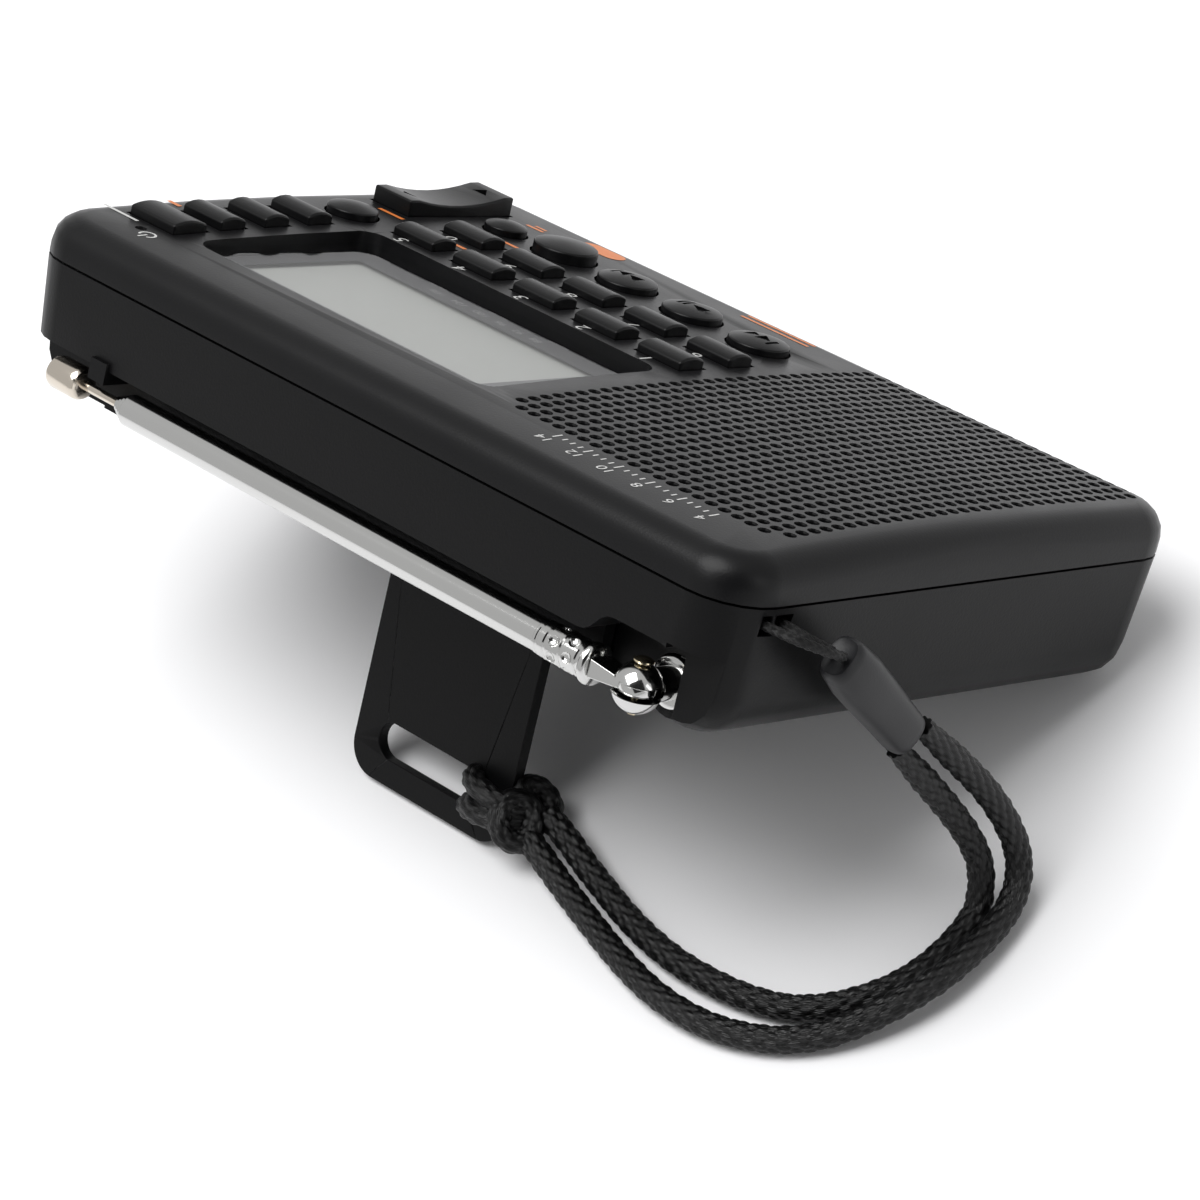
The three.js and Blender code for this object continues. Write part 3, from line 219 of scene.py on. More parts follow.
def braided_cord(name, points, radius, material, yarns=8, pitch=2.6, step=0.17, sides=42, closed=False,
                 taper=None):
    """A tube along the route whose surface is worked into a braid, with its angle and length as UVs."""
    route, length = smooth_route(points, step, closed)
    if closed:
        route = route[:-1]
        pitch = length / round(length / pitch)
    count = len(route)
    ahead = np.roll(route, -1, axis=0) - np.roll(route, 1, axis=0)
    if not closed:
        ahead[0], ahead[-1] = route[1] - route[0], route[-1] - route[-2]
    ahead /= np.linalg.norm(ahead, axis=1)[:, None]
    side = np.cross(ahead[0], (0, 0, 1) if abs(ahead[0][2]) < 0.9 else (0, 1, 0))
    sides_at = []
    for direction in ahead:
        side = side - direction * (side @ direction)
        side /= np.linalg.norm(side)
        sides_at.append(side)
    sides_at = np.array(sides_at)
    ups = np.cross(ahead, sides_at)
    angles = np.arange(sides) * 2 * np.pi / sides
    lengths = np.arange(count) * length / (count if closed else count - 1)
    around, along = np.meshgrid(angles, lengths)
    if closed:  # the frame comes back turned, so the turn is spread along the ring
        last = sides_at[-1] - ahead[0] * (sides_at[-1] @ ahead[0])
        turn = math.atan2(last @ ups[0], last @ sides_at[0])
        around_place = around - turn * along / length
    else:
        around_place = around
    height = braid_height(around, along, yarns, pitch)
    width = np.ones(count) if taper is None else np.interp(lengths, *taper)
    reach = (radius - BRAID_BUMP * (1 - height) * radius / STRAND_RADIUS) * width[:, None]
    spots = (route[:, None] + (np.cos(around_place) * reach)[..., None] * sides_at[:, None]
             + (np.sin(around_place) * reach)[..., None] * ups[:, None])
    shape = bmesh.new()
    uv = shape.loops.layers.uv.new("cord")
    # The yarns' heights, kept on the vertices; the material paints shade into the hollows between the yarns
    # from them.
    yarn_shade_height = shape.verts.layers.float.new("yarn")
    rings = [[shape.verts.new(Vector(spot) * MM) for spot in ring] for ring in spots]
    for ring, heights in zip(rings, height):
        for vertex, value in zip(ring, heights):
            vertex[yarn_shade_height] = float(value)
    pairs = count if closed else count - 1
    for i in range(pairs):
        near, far = rings[i], rings[(i + 1) % count]
        for k in range(sides):
            face = shape.faces.new((near[k], near[(k + 1) % sides], far[(k + 1) % sides], far[k]))
            face.smooth = True
            corners = ((k, i), (k + 1, i), (k + 1, i + 1), (k, i + 1))
            for loop, (u, v) in zip(face.loops, corners):
                loop[uv].uv = (u / sides, v * length / count / (2 * math.pi * radius))
    if not closed:
        shape.faces.new(reversed(rings[0]))
        shape.faces.new(rings[-1])
    bmesh.ops.recalc_face_normals(shape, faces=shape.faces)
    piece = new_piece(name, shape, material)
    return piece, [Vector(spot) * MM for spot in route], length * MM


def braid_material(name, colour, fibre_scale):
    """Nylon yarn with fine fibres and a soft sheen on top, and painted shade: its colour darkens to near black
    in the hollows between the yarns.
    """
    material = bare_material(name, colour, 0.38, gloss=0.34)
    nodes, links = material.node_tree.nodes, material.node_tree.links
    shader = nodes["Principled BSDF"]
    yarn = nodes.new("ShaderNodeAttribute")
    yarn.attribute_name = "yarn"
    # Painted shade: near black where the yarns sink, the cord's own black on their tops.
    painted_valley_shade = nodes.new("ShaderNodeValToRGB")
    painted_valley_shade.color_ramp.elements[0].position = 0.35
    painted_valley_shade.color_ramp.elements[0].color = (0.0002, 0.0002, 0.0002, 1)
    painted_valley_shade.color_ramp.elements[1].position = 0.95
    painted_valley_shade.color_ramp.elements[1].color = (*colour, 1)
    links.new(yarn.outputs["Fac"], painted_valley_shade.inputs["Fac"])
    links.new(painted_valley_shade.outputs["Color"], shader.inputs["Base Color"])
    place = nodes.new("ShaderNodeUVMap")
    place.uv_map = "cord"
    fibres = nodes.new("ShaderNodeTexWave")
    fibres.inputs["Scale"].default_value = fibre_scale
    fibres.inputs["Distortion"].default_value = 6
    fibres.inputs["Detail"].default_value = 2
    bump = nodes.new("ShaderNodeBump")
    bump.inputs["Strength"].default_value = 0.6
    bump.inputs["Distance"].default_value = 0.05 * MM
    links.new(place.outputs["UV"], fibres.inputs["Vector"])
    links.new(fibres.outputs["Fac"], bump.inputs["Height"])
    links.new(bump.outputs["Normal"], shader.inputs["Normal"])
    return material


braid = braid_material("black_braid", (0.0045, 0.0045, 0.0048), 14)
thinned = ([0, 1.5, 7], [0.78, 0.8, 1])
strand_a, route_a, length_a = braided_cord("strap_braid_a", STRAND_A, STRAND_RADIUS, braid, taper=thinned)
strand_b, route_b, length_b = braided_cord("strap_braid_b", STRAND_B, STRAND_RADIUS, braid, taper=thinned)

# The case's own frame: its face is the XY plane, and it leans back by the tilt of the antenna's swivel.
joints = {joint["name"]: joint for joint in frame["joints"]}
swivel, elbow = joints["antenna_swivel_hinge"], joints["antenna_elbow_hinge"]
ELBOW = Vector((-47.3, 37.6, -19.6))
LEAN = math.atan2(swivel["axis"][2], swivel["axis"][1])
leaning = (Matrix.Translation(Vector(elbow["pos_m"])) @ Matrix.Rotation(LEAN, 4, "X")
           @ Matrix.Translation(-ELBOW * MM) @ Matrix.Scale(MM, 4))

# ------------------------------------------------------------------ strap knot
# The strands are knotted round the web between the slot and the edge of the stand: two turns round the
# web, and two smaller ones that bind the strands. Each turn is a closed ring of the same braid.
SLOT_CENTRE = Vector((1, 11.8, -52.7))
KNOT_CENTRE = SLOT_CENTRE + Vector((-11.2, 0, 0))


def ring_points(centre, first, second, count=12):
    """Points of an oval ring about a centre, from its two half axes."""
    turns = [2 * math.pi * k / count for k in range(count)]
    return [centre + first * math.cos(a) + second * math.sin(a) for a in turns]


def leaned(points):
    """Points of the case's own frame, carried to the shared frame and still in mm."""
    return [tuple((leaning @ point) / MM) for point in points]


knot_turns = [
    ring_points(KNOT_CENTRE + Vector((0, 0, 1.3)), Vector((4.1, 0, 0.6)), Vector((0, 3.0, 0.2))),
    ring_points(KNOT_CENTRE + Vector((-0.2, 0, -1.4)), Vector((4.2, 0, -0.5)), Vector((0, 3.1, 0.3))),
    ring_points(KNOT_CENTRE + Vector((-4.6, 1.7, -0.2)), Vector((0.9, -1.1, 2.1)), Vector((-1.5, -1.4, -0.3))),
    ring_points(KNOT_CENTRE + Vector((-4.0, -1.9, 1.6)), Vector((1.5, 1.1, 1.2)), Vector((-0.6, 1.5, -0.7))),
]
KNOT_CORD_RADIUS = 1.5  # pulled a little thinner than the free strands
for number, turn in enumerate(knot_turns):
    piece, _, _ = braided_cord(f"strap_knot_turn_{number + 1}", leaned(turn), KNOT_CORD_RADIUS, braid,
                               yarns=7, closed=True, sides=36)
    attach(piece, "kickstand")
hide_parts("strap_knot")

for strand, node in ((strand_a, "strap_strand_a"), (strand_b, "strap_strand_b")):
    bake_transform(strand)
    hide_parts(node)

# ------------------------------------------------------------------ strap bead and loop
# A moulded slider, oval and a little flared, grips the strands. A thin cord loop joins it to the case
# through a hole in the side, round a small post.
STRAP_HOLE = Vector((-59, 31.8, -8.3))
BEAD_TOP = STRAP_HOLE + Vector((-5, -5.2, -1.9))
BEAD_SLOPE = math.atan2(11.1, 15.7)
LOOP_POINTS = [
    (-5.85, -4.8, -1.6), (-5.5, -2.4, -0.9), (-3.6, 0.4, -0.2), (-0.5, 1.3, 0), (2.4, 1.3, 0), (3.8, 0, 0),
    (2.4, -1.3, 0), (-0.5, -1.3, 0), (-2.8, -2.2, -0.5), (-4, -3.6, -1.1), (-4.15, -4.8, -1.6),
]
bead_plastic = bare_material("bead_plastic", (0.012, 0.0122, 0.0135), 0.4, gloss=0.3)
bead_material = add_grain(bead_plastic, 0.25, 0.012, 0.05)
BEAD_RINGS = [(0.2, 0.62), (0.0, 0.8), (0.35, 0.93), (1.3, 1.0), (4.5, 1.1), (9, 1.07), (14, 1.0),
              (17.2, 0.98), (18.2, 0.94), (18.6, 0.84)]
BEAD_HALF = Vector((2.15, 2.75))

bead_shape = bmesh.new()
edge_ring = None
for height, share in BEAD_RINGS:
    made = bmesh.ops.create_circle(bead_shape, segments=32, radius=1)
    for vertex in made["verts"]:
        across = BEAD_HALF.x * share * math.copysign(abs(vertex.co.x) ** 0.72, vertex.co.x)
        along = BEAD_HALF.y * share * math.copysign(abs(vertex.co.y) ** 0.72, vertex.co.y)
        vertex.co = Vector((across, along, height))
    ring_edges = list({edge for vertex in made["verts"] for edge in vertex.link_edges})
    if edge_ring:
        bmesh.ops.bridge_loops(bead_shape, edges=edge_ring + ring_edges)
    edge_ring = ring_edges
bmesh.ops.holes_fill(bead_shape, edges=bead_shape.edges, sides=40)
bmesh.ops.recalc_face_normals(bead_shape, faces=bead_shape.faces)
bead_place = leaning @ Matrix.Translation(BEAD_TOP) @ Matrix.Rotation(math.pi / 2 + BEAD_SLOPE, 4, "X")
bead_shape.transform(bead_place)
for face in bead_shape.faces:
    face.smooth = True
bead = new_piece("strap_slider", bead_shape, bead_material, "root", "strap_bead")
bead.data.set_sharp_from_angle(angle=math.radians(50))

LOOP_RADIUS = 0.6
loop_points = leaned([STRAP_HOLE + Vector(point) for point in LOOP_POINTS])
loop, _, _ = braided_cord("strap_thin_loop", loop_points, LOOP_RADIUS, braid, yarns=5, pitch=1.0, step=0.1,
                          sides=20)
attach(loop, "root")
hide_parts("strap_loop")

# ------------------------------------------------------------------ front case
# One ABS moulding: a shallow face, crowned a little along its length, with a round-over all round it. It
# has a stepped window, holes for the keys, and a field of small speaker holes.
GRILLE_LEFT, GRILLE_TOP, GRILLE_PITCH, GRILLE_HOLE = -53.3, 28.1, 1.965, 0.73
GRILLE_COLUMNS, GRILLE_ROWS, HOLE_SIDES = 22, 34, 12


def crown(y):
    return -0.7 * ((y + 4.5) / 32.5) ** 2


case_black_face = bare_material("case_black_face", (0.0045, 0.0045, 0.005), 0.36, gloss=0.2)
black_face = add_grain(case_black_face, 0.32, 0.014, 0.05)
case_black_back = bare_material("case_black_back", (0.0035, 0.0035, 0.0038), 0.38, gloss=0.15)
black_back = add_grain(case_black_back, 0.32, 0.016, 0.05)


def cad_shape(node):
    """The CAD solid of a node, merged and with its flat faces joined up, as a new bmesh."""
    source = bpy.data.objects[node]
    shape = bmesh.new()
    shape.from_mesh(source.data)
    shape.transform(source.matrix_world)
    bmesh.ops.remove_doubles(shape, verts=shape.verts, dist=2e-6)
    bmesh.ops.dissolve_limit(shape, angle_limit=math.radians(0.6), verts=shape.verts, edges=shape.edges)
    bmesh.ops.triangulate(shape, faces=[face for face in shape.faces if len(face.verts) > 4])
    return shape


def finish_edges(piece, width, angle=28):
    """Rounds the sharp edges of a piece and shades it smooth between them."""
    for face in piece.data.polygons:
        face.use_smooth = True
    bevel = piece.modifiers.new("edges", "BEVEL")
    bevel.width = width * MM
    bevel.segments = 2
    bevel.limit_method = "ANGLE"
    bevel.angle_limit = math.radians(angle)
    flats = piece.modifiers.new("flats", "WEIGHTED_NORMAL")
    flats.weight = 80
    flats.keep_sharp = True
    return piece


def finished_copy(node, material, body, width, angle=28):
    piece = new_piece(node + "_finished", cad_shape(node), material, body, node)
    return finish_edges(piece, width, angle=angle)


def cut_away(piece, tool_shape):
    """Cuts a shape out of a piece for good, with the piece's own modifiers applied first."""
    mesh = bpy.data.meshes.new("cutter")
    tool_shape.to_mesh(mesh)
    tool_shape.free()
    tool = bpy.data.objects.new("cutter", mesh)
    bpy.context.collection.objects.link(tool)
    cut = piece.modifiers.new("cut", "BOOLEAN")
    cut.operation = "DIFFERENCE"
    cut.solver = "EXACT"
    cut.object = tool
    bpy.context.view_layer.update()
    result = bpy.data.meshes.new_from_object(piece.evaluated_get(bpy.context.evaluated_depsgraph_get()))
    piece.modifiers.clear()
    piece.data = result
    bpy.data.objects.remove(tool)


front = finished_copy("front_case", black_face, "root", 0.12)

# The small speaker holes stand in columns and rows, with the four corners left out.
holes = bmesh.new()
for column in range(GRILLE_COLUMNS):
    for row in range(GRILLE_ROWS):
        if column in (0, GRILLE_COLUMNS - 1) and row in (0, GRILLE_ROWS - 1):
            continue
        x = GRILLE_LEFT + GRILLE_PITCH * column
        y = GRILLE_TOP - GRILLE_PITCH * row
        top = crown(y)
        rim = GRILLE_HOLE + 0.1
        profile = ((-2.6, GRILLE_HOLE), (-0.22, GRILLE_HOLE), (0.12, rim), (1, rim))
        rings = []
        for height, radius in profile:
            ring = []
            for k in range(HOLE_SIDES):
                angle = 2 * math.pi * k / HOLE_SIDES
                ring.append(holes.verts.new((x + radius * math.cos(angle), y + radius * math.sin(angle),
                                             top + height)))
            rings.append(ring)
        for low, high in zip(rings, rings[1:]):
            for k in range(HOLE_SIDES):
                after = (k + 1) % HOLE_SIDES
                holes.faces.new((low[k], low[after], high[after], high[k]))
        holes.faces.new(reversed(rings[0]))
        holes.faces.new(rings[-1])
holes.transform(leaning)
cut_away(front, holes)

# ------------------------------------------------------------------ rear case, battery cover and stand
# The deeper half of the case, its battery cover with a ribbed thumb patch, and the plate that swings out
# of its own pocket are all moulded in the same black.
finished_copy("rear_case", black_back, "root", 0.15, 32)
finished_copy("battery_cover", black_back, "battery_cover", 0.15)
stand_plastic = bare_material("stand_black", (0.003, 0.003, 0.0033), 0.4, gloss=0.14)
stand_black = add_grain(stand_plastic, 0.3, 0.015, 0.05)
finished_copy("kickstand", stand_black, "kickstand", 0.25)

# ------------------------------------------------------------------ keys and rocker
# Rubber-coated keys stand about 1.5 mm proud of the face: rounded bars in rows, and round buttons. The
# signs for play, next and previous are sunk into three of them.
key_rubber = bare_material("key_black", (0.0022, 0.0022, 0.0025), 0.36, gloss=0.22)
key_black = add_grain(key_rubber, 0.28, 0.012, 0.06)
KEY_SIGNS = {  # outlines of the sunk signs, mm from the middle of the key
    "previous_key": [
        [(-1.75, -0.9), (-1.4, -0.9), (-1.4, 0.9), (-1.75, 0.9)], [(-1.3, 0), (0, -0.9), (0, 0.9)],
        [(0.1, 0), (1.4, -0.9), (1.4, 0.9)],
    ],
    "play_key": [
        [(-1.5, -0.9), (0.1, 0), (-1.5, 0.9)], [(0.4, -0.9), (0.8, -0.9), (0.8, 0.9), (0.4, 0.9)],
        [(1.1, -0.9), (1.5, -0.9), (1.5, 0.9), (1.1, 0.9)],
    ],
    "next_key": [
        [(-1.4, -0.9), (-0.1, 0), (-1.4, 0.9)], [(0, -0.9), (1.3, 0), (0, 0.9)],
        [(1.4, -0.9), (1.75, -0.9), (1.75, 0.9), (1.4, 0.9)],
    ],
    "tuning_rocker": [
        [(-1.3, 6.2), (0, 7.6), (1.3, 6.2)], [(-1.3, -6.2), (1.3, -6.2), (0, -7.6)],
    ],
}
BUTTON_SIGN, ROCKER_SIGN = (1.3, 0.35), (1, 0.9)  # how much the outlines are enlarged, and depth in mm
KEY_PLACES = {
    "previous_key": (-2.2, -24.9, 1.5), "play_key": (9.1, -24.9, 1.5), "next_key": (20.4, -24.9, 1.5),
    "tuning_rocker": (50.8, -21.55, 2.2),
}


def sunk_into(piece, outlines, place, size, depth):
    """Cuts prisms of the given outlines into a finished piece, from its top down to a depth."""
    prisms = bmesh.new()
    x, y, rise = place
    for outline in outlines:
        top = crown(y) + rise
        outline = [(px * size, py * size) for px, py in outline]
        low = [prisms.verts.new((x + px, y + py, top - depth)) for px, py in outline]
        high = [prisms.verts.new((x + px, y + py, top + 2)) for px, py in outline]
        for k in range(len(outline)):
            after = (k + 1) % len(outline)
            prisms.faces.new((low[k], low[after], high[after], high[k]))
        prisms.faces.new(low)
        prisms.faces.new(high)
    prisms.transform(leaning)
    bmesh.ops.recalc_face_normals(prisms, faces=prisms.faces)
    cut_away(piece, prisms)


for name in sorted(frame["nodes"]):
    if name.endswith("_key") or name.startswith("number_key") or name == "tuning_rocker":
        key = finished_copy(name, key_black, name, 0.3, 40)
        if name in KEY_SIGNS:
            sign = ROCKER_SIGN if name == "tuning_rocker" else BUTTON_SIGN
            sunk_into(key, KEY_SIGNS[name], KEY_PLACES[name], *sign)

# ------------------------------------------------------------------ display
# A reflective LCD sits behind a flat acrylic window. The window's border is printed dark on its inner
# face, and the frame of the case steps down to it.
WINDOW_X, WINDOW_Y, LENS_W, LENS_H, LENS_BACK = 17.55, 13.2, 50, 28.9, -2.6
SEEN = (-1.7, 3.1, 39.5, 22.4)  # left, bottom, right and top of what the printed border leaves clear


def rounded_outline(x0, y0, x1, y1, radius, steps=8):
    points = []
    for cx, cy, start in ((x1 - radius, y1 - radius, 0), (x0 + radius, y1 - radius, 90),
                          (x0 + radius, y0 + radius, 180), (x1 - radius, y0 + radius, 270)):
        for k in range(steps + 1):
            angle = math.radians(start + 90 * k / steps)
            points.append((cx + radius * math.cos(angle), cy + radius * math.sin(angle)))
    return points


def flat_ring(name, outer, inner, z, material):
    """A flat frame between two outlines of as many points, at a height in the case frame."""
    shape = bmesh.new()
    outside = [shape.verts.new((x, y, z)) for x, y in outer]
    inside = [shape.verts.new((x, y, z)) for x, y in inner]
    for k in range(len(outer)):
        after = (k + 1) % len(outer)
        shape.faces.new((outside[k], outside[after], inside[after], inside[k]))
    shape.transform(leaning)
    return new_piece(name, shape, material, "root")


def window_glass():
    """Clear acrylic: it lets light straight through, with a sharp reflection at low angles."""
    material = bpy.data.materials.new("window_acrylic")
    material.use_nodes = True
    nodes, links = material.node_tree.nodes, material.node_tree.links
    nodes.clear()
    output = nodes.new("ShaderNodeOutputMaterial")
    mix = nodes.new("ShaderNodeMixShader")
    clear = nodes.new("ShaderNodeBsdfTransparent")
    clear.inputs["Color"].default_value = (0.97, 0.975, 0.975, 1)
    shine = nodes.new("ShaderNodeBsdfGlossy")
    shine.inputs["Roughness"].default_value = 0.04
    edge = nodes.new("ShaderNodeLayerWeight")
    edge.inputs["Blend"].default_value = 0.5
    steep = nodes.new("ShaderNodeMath")
    steep.operation = "POWER"
    steep.inputs[1].default_value = 4.5
    share = nodes.new("ShaderNodeMapRange")
    share.inputs["To Min"].default_value = 0.03
    share.inputs["To Max"].default_value = 0.45
    links.new(edge.outputs["Facing"], steep.inputs[0])
    links.new(steep.outputs["Value"], share.inputs["Value"])
    links.new(share.outputs["Result"], mix.inputs["Fac"])
    links.new(clear.outputs["BSDF"], mix.inputs[1])
    links.new(shine.outputs["BSDF"], mix.inputs[2])
    links.new(mix.outputs["Shader"], output.inputs["Surface"])
    return material


def clear_inside():
    """The lens's back and rim, which only let light through."""
    material = bpy.data.materials.new("window_inside")
    material.use_nodes = True
    nodes, links = material.node_tree.nodes, material.node_tree.links
    nodes.clear()
    output = nodes.new("ShaderNodeOutputMaterial")
    clear = nodes.new("ShaderNodeBsdfTransparent")
    links.new(clear.outputs["BSDF"], output.inputs["Surface"])
    return material


window = finished_copy("display_window", window_glass(), "root", 0.15)
window.data.materials.append(clear_inside())
face_normal = Vector((0, -math.sin(LEAN), math.cos(LEAN)))
for face in window.data.polygons:
    face.material_index = 0 if face.normal.dot(face_normal) > 0.5 else 1
border_black = add_grain(bare_material("window_border_print", (0.035, 0.035, 0.037), 0.35), 0.4, 0.002, 0.05)
lens_x0, lens_x1 = WINDOW_X - LENS_W / 2, WINDOW_X + LENS_W / 2
lens_y0, lens_y1 = WINDOW_Y - LENS_H / 2, WINDOW_Y + LENS_H / 2
flat_ring("window_border", rounded_outline(lens_x0, lens_y0, lens_x1, lens_y1, 2.4),
          rounded_outline(*SEEN, 0.5), LENS_BACK - 0.08, border_black)

lcd_grey = add_grain(bare_material("lcd_grey", (0.30, 0.305, 0.29), 0.5), 0.5, 0.0005, 0.05)
finished_copy("display_panel", lcd_grey, "root", 0.1)

# ------------------------------------------------------------------ printing on the face
# The keys' numbers and marks are screen printed in white and orange, just above the moulded face.
white_ink = add_grain(bare_material("white_ink", (0.55, 0.55, 0.54), 0.45), 0.1, 0.002, 0.05)
orange_ink = add_grain(bare_material("orange_ink", (0.62, 0.17, 0.03), 0.45), 0.1, 0.002, 0.05)
grey_ink = add_grain(bare_material("grey_ink", (0.24, 0.24, 0.24), 0.45), 0.1, 0.002, 0.05)
INK_LIFT = 0.025


def printed(name, outlines, material):
    """Flat marks, each a closed outline in mm on the face, lying just above its crown."""
    shape = bmesh.new()
    for outline in outlines:
        spots = [(x, y, crown(y) + INK_LIFT) for x, y in outline]
        shape.faces.new([shape.verts.new(spot) for spot in spots])
    shape.transform(leaning)
    bmesh.ops.triangulate(shape, faces=shape.faces)
    return new_piece(name, shape, material, "root")


def printed_text(name, words, x, y, height, material, z=None):
    """Text centred on a point of the face, drawn as a curve and turned into a mesh."""
    curve = bpy.data.curves.new(name, "FONT")
    curve.body = words
    curve.size = height / 0.7
    curve.align_x, curve.align_y = "CENTER", "CENTER"
    curve.resolution_u = 4
    writer = bpy.data.objects.new(name, curve)
    bpy.context.collection.objects.link(writer)
    bpy.context.view_layer.update()
    flat = bpy.data.meshes.new_from_object(writer.evaluated_get(bpy.context.evaluated_depsgraph_get()))
    bpy.data.objects.remove(writer)
    shape = bmesh.new()
    shape.from_mesh(flat)
    for vertex in shape.verts:
        vertex.co += Vector((x, y, 0))
        vertex.co.z = (crown(vertex.co.y) if z is None else z) + INK_LIFT
    shape.transform(leaning)
    return new_piece(name, shape, material, "root")


def bar(x, y, width, height):
    return [(x - width / 2, y - height / 2), (x + width / 2, y - height / 2), (x + width / 2, y + height / 2),
            (x - width / 2, y + height / 2)]


NUMBER_KEY_X, NUMBER_KEY_PITCH, NUMBER_ROWS = -4.65, 10.7, (-6.2, -14.95)
DIGIT_SHIFT, DIGIT_RISE, DIGIT_HEIGHT = 0.8, 3.25, 2.1  # each digit is printed just above its key
for column in range(5):
    for row, y in enumerate(NUMBER_ROWS):
        digit = str((column + 1 + 5 * row) % 10)
        x = NUMBER_KEY_X + NUMBER_KEY_PITCH * column
        printed_text("digit_" + digit, digit, x + DIGIT_SHIFT, y + DIGIT_RISE, DIGIT_HEIGHT, white_ink)
power_sign = [(46.2 + r * math.cos(a), 32.3 + r * math.sin(a)) for r, a in
              [(1.15, math.radians(130 + 280 * k / 16)) for k in range(17)]
              + [(0.85, math.radians(410 - 280 * k / 16)) for k in range(17)]]
printed("power_sign", [power_sign, bar(46.2, 33.1, 0.28, 1.5)], white_ink)
printed("white_dashes", [bar(54, 30, 6.4, 0.5)], white_ink)
printed("orange_marks", [
    bar(36.4, -10.2, 3.2, 0.7), bar(36.4, -19.6, 3.2, 0.7), bar(48.5, -10.2, 4.4, 0.7),
    bar(42.5, -30.6, 3, 0.6), bar(42.5, -31.7, 2, 0.5), bar(55.6, 20.1, 2.2, 0.7),
    bar(3.4, -34.4, 11.4, 0.55), bar(3.4, -35.8, 11.4, 0.55),
], orange_ink)
PILL_X, PILL_Y, PILL_HALF_W, PILL_HALF_H, PILL_CORNER = 33.6, -34.2, 3.5, 1.8, 1.7
pill = rounded_outline(PILL_X - PILL_HALF_W, PILL_Y - PILL_HALF_H, PILL_X + PILL_HALF_W, PILL_Y + PILL_HALF_H,
                       PILL_CORNER)
printed("orange_pill", [pill], orange_ink)
SCALE_LEFT, SCALE_Y, TICK_PITCH, TICKS_PER_NUMBER = -46.2, 30.6, 1.2, 4
ticks = []
for k in range(21):
    tick_height = 0.9 if k % TICKS_PER_NUMBER else 1.6
    ticks.append(bar(SCALE_LEFT + TICK_PITCH * k, SCALE_Y, 0.22, tick_height))
printed("scale_ticks", ticks, white_ink)
for number, words in enumerate(("4", "6", "8", "10", "12", "14")):
    x = SCALE_LEFT + TICKS_PER_NUMBER * TICK_PITCH * number
    printed_text("scale_number_" + words, words, x, 32.7, 1.5, white_ink)
printed_text("window_scale", "88   92   96   100   104   108", 18.9, 1.05, 1.15, grey_ink, LENS_BACK - 0.07)

# ------------------------------------------------------------------ antenna
# A telescopic whip of chromed brass tubes, stowed in its channel. A flat tongue in a round knuckle lets it
# fold, and the knuckle's neck turns in a chromed collar let into the case.
chrome = add_grain(bare_material("chrome", (0.60, 0.60, 0.59), 0.12, 1.0), 3, 0.001, 0.03)
cap_chrome = add_grain(bare_material("cap_chrome", (0.66, 0.60, 0.52), 0.16, 1.0), 3, 0.001, 0.04)
pin_metal = add_grain(bare_material("pin_metal", (0.72, 0.62, 0.44), 0.2, 1.0), 1, 0.002, 0.05)


def spun(name, profile, axis, place, material, body, node):
    """Turns a profile of (along, radius) pairs in mm about an axis of the case frame."""
    shape = bmesh.new()
    line = [shape.verts.new((radius, 0, along)) for along, radius in profile]
    edges = [shape.edges.new(pair) for pair in zip(line, line[1:])]
    bmesh.ops.spin(shape, geom=line + edges, cent=(0, 0, 0), axis=(0, 0, 1), angle=2 * math.pi, steps=48,
                   use_merge=True)
    bmesh.ops.remove_doubles(shape, verts=shape.verts, dist=1e-5)
    turn = {"x": Matrix.Rotation(math.pi / 2, 4, "Y"), "y": Matrix.Rotation(-math.pi / 2, 4, "X"),
            "z": Matrix.Identity(4)}[axis]
    shape.transform(leaning @ Matrix.Translation(place) @ turn)
    bmesh.ops.recalc_face_normals(shape, faces=shape.faces)
    for face in shape.faces:
        face.smooth = True
    piece = new_piece(name, shape, material, body, node)
    piece.data.set_sharp_from_angle(angle=math.radians(32))
    return piece


AXIS = Vector((0, ELBOW.y, ELBOW.z))
TUBE_START, TUBE_END, TUBE_STEP, TUBE_WALL = -38.7, 37.5, 0.7, 0.2
TUBE_RADII = (2.0, 1.64, 1.28, 0.92)
FERRULE = [(-41.3, 0), (-41.3, 2.1), (-41.15, 2.35), (-40.9, 2.5), (-40.5, 2.5), (-40.3, 2.35), (-40.2, 2.15),
           (-39.9, 2.02), (-39.6, 2.0), (-39.45, 2.15), (-37.6, 2.2), (-37.45, 2.0), (-37.15, 2.0),
           (-37, 2.2), (-35.2, 2.2), (-35.05, 2.0), (-34.75, 2.0), (-34.6, 2.15), (-33.9, 2.15),
           (-33.75, 2.0), (-33.5, 2.0), (-33.4, 2.08), (-33.1, 2.08), (-33, 2.0)]
for number, radius in enumerate(TUBE_RADII):
    end = TUBE_END + TUBE_STEP * number
    bore = radius - TUBE_WALL
    if number == 0:
        profile = FERRULE + [(end - 0.15, radius), (end, radius - 0.12), (end, bore), (-38.5, bore),
                             (-38.5, 0)]
        body = "antenna_arm"
    else:
        start = TUBE_START + TUBE_STEP * number
        profile = [(start, bore), (start, radius), (end - 0.1, radius), (end, radius - 0.08), (end, bore),
                   (start, bore)]
        body = f"antenna_section_{number + 1}"
    spun(f"whip_tube_{number + 1}", profile, "x", AXIS, chrome, body, f"antenna_tube_{number + 1}")
rod_start = TUBE_START + TUBE_STEP * len(TUBE_RADII)
TIP = [(rod_start, 0), (rod_start, 0.56), (46, 0.56), (46, 1.3), (46.2, 1.8), (46.6, 2.05), (47, 2.1),
       (50.6, 2.1), (51.1, 1.95), (51.3, 1.5), (51.3, 0)]
spun("whip_tip", TIP, "x", AXIS, cap_chrome, "antenna_tip", "antenna_tip")

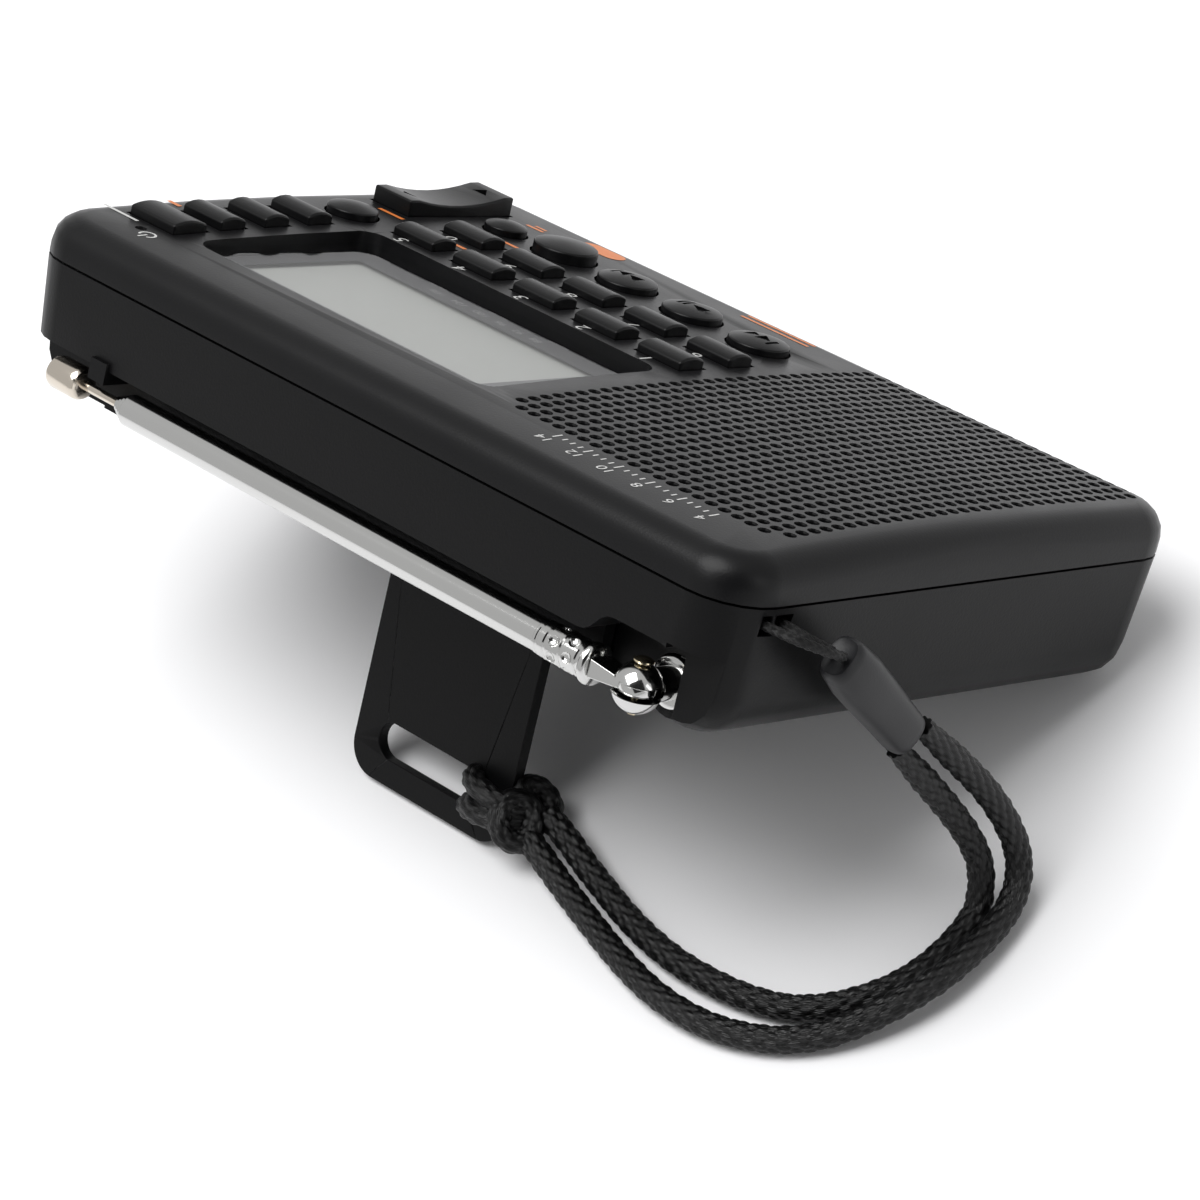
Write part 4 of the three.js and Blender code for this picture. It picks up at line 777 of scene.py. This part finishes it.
# Two rows of round dimples grip the ferrule to the tube.
DIMPLES_ROUND, DIMPLE_OUT, DIMPLE_RADIUS = 7, 2.75, 0.95
dimples = bmesh.new()
for row, along in enumerate((-38.5, -36.1)):
    for k in range(DIMPLES_ROUND):
        angle = 2 * math.pi * (k + 0.5 * row) / DIMPLES_ROUND
        spot = AXIS + Vector((along, DIMPLE_OUT * math.cos(angle), DIMPLE_OUT * math.sin(angle)))
        place = Matrix.Translation(spot)
        bmesh.ops.create_icosphere(dimples, subdivisions=3, radius=DIMPLE_RADIUS, matrix=place)
dimples.transform(leaning)
cut_away(bpy.data.objects["whip_tube_1"], dimples)

# The tongue that the whip ends in is a flat blade in the slot of the knuckle.
blade = bmesh.new()
bmesh.ops.create_cone(blade, cap_ends=True, segments=40, radius1=2.1, radius2=2.1, depth=1.1)
for face in blade.faces:
    face.smooth = True
blade.transform(leaning @ Matrix.Translation(ELBOW))
tongue = new_piece("whip_tongue", blade, chrome, "antenna_arm")
finish_edges(tongue, 0.15)
neck_shape = bmesh.new()
bmesh.ops.create_cube(neck_shape, size=1)
for vertex in neck_shape.verts:
    wide = vertex.co.x > 0
    vertex.co = Vector((5.9 if wide else 1, math.copysign(1.7 if wide else 1.5, vertex.co.y),
                        math.copysign(1.1 if wide else 0.55, vertex.co.z)))
neck_shape.transform(leaning @ Matrix.Translation(ELBOW))
neck = new_piece("whip_neck", neck_shape, chrome, "antenna_arm")
finish_edges(neck, 0.15)

ROOT = Vector((ELBOW.x, 0, ELBOW.z))
KNUCKLE_RADIUS = 2.9
knuckle_turns = [math.radians(a) for a in range(40, 181, 7)]
knuckle_steps = [(-KNUCKLE_RADIUS * math.cos(a), KNUCKLE_RADIUS * math.sin(a)) for a in knuckle_turns]
swivel_profile = ([(22.3, 0), (22.3, 2.5), (23.5, 2.5), (23.5, 1.8), (31.5, 1.8), (31.5, 2.75), (31.62, 2.95),
                   (31.8, 3.0), (32.2, 3.0), (32.42, 2.9), (32.5, 2.7), (32.5, 1.95), (35.2, 1.9)]
                  + [(37.6 + along, radius) for along, radius in knuckle_steps[:-1]] + [(40.5, 0)])
swivel_piece = spun("whip_knuckle", swivel_profile, "y", ROOT, chrome, "antenna_swivel", "antenna_swivel")
slot_cut = bmesh.new()
bmesh.ops.create_cube(slot_cut, size=1)
slot_place = Matrix.Translation(ELBOW + Vector((0, 1.3, 0)))
slot_cut.transform(leaning @ slot_place @ Matrix.Diagonal((10, 7.4, 1.7, 1)))
cut_away(swivel_piece, slot_cut)
spun("whip_pin", [(-3, 0), (-3, 0.5), (3, 0.5), (3, 1.12), (3.12, 1.2), (3.25, 1.15), (3.45, 0.8), (3.55, 0)],
     "z", ELBOW, pin_metal, "antenna_arm", "elbow_pin")
finished_copy("antenna_bush", chrome, "root", 0.1)

# ------------------------------------------------------------------ sockets, screws, lamp and inner parts
# The sockets sit at the ends of their holes in the sides. Inside are the loudspeaker behind its holes, the
# green board, the ferrite aerial and the flat battery in its film.
steel = add_grain(bare_material("steel", (0.56, 0.56, 0.57), 0.28, 1.0), 0.4, 0.003, 0.08)
copper = add_grain(bare_material("copper_wire", (0.72, 0.32, 0.14), 0.3, 1.0), 0.25, 0.03, 0.05, (1, 12, 1))
board_green = add_grain(bare_material("board_green", (0.02, 0.12, 0.05), 0.4), 0.9, 0.01, 0.08)
ferrite = add_grain(bare_material("ferrite", (0.03, 0.03, 0.032), 0.5), 0.3, 0.02, 0.1)
speaker_paper = add_grain(bare_material("speaker_paper", (0.02, 0.02, 0.02), 0.85), 0.5, 0.03)
battery_film = add_grain(bare_material("battery_film", (0.16, 0.22, 0.36), 0.35), 2.5, 0.03, 0.08)
lamp_clear = add_grain(bare_material("lamp_clear", (0.55, 0.5, 0.48), 0.25), 0.3, 0.003, 0.05)
sheet_rubber = add_grain(bare_material("sheet_rubber", (0.03, 0.03, 0.03), 0.6), 0.4, 0.01, 0.05)
INNER = {
    "key_sheet": sheet_rubber, "main_board": board_green, "indicator_led": lamp_clear,
    "speaker_frame": black_back, "speaker_cone": speaker_paper, "speaker_magnet": steel,
    "ferrite_rod": ferrite, "ferrite_coil": copper, "headphone_jack": black_back, "usb_socket": steel,
    "card_slot": steel, "battery": battery_film, "battery_contacts": steel, "kickstand_pin": steel,
    "case_screw_1": steel, "case_screw_2": steel, "case_screw_3": steel, "case_screw_4": steel,
}
for name, material in INNER.items():
    inner = frame["nodes"][name]
    inner.data.materials.clear()
    inner.data.materials.append(material)
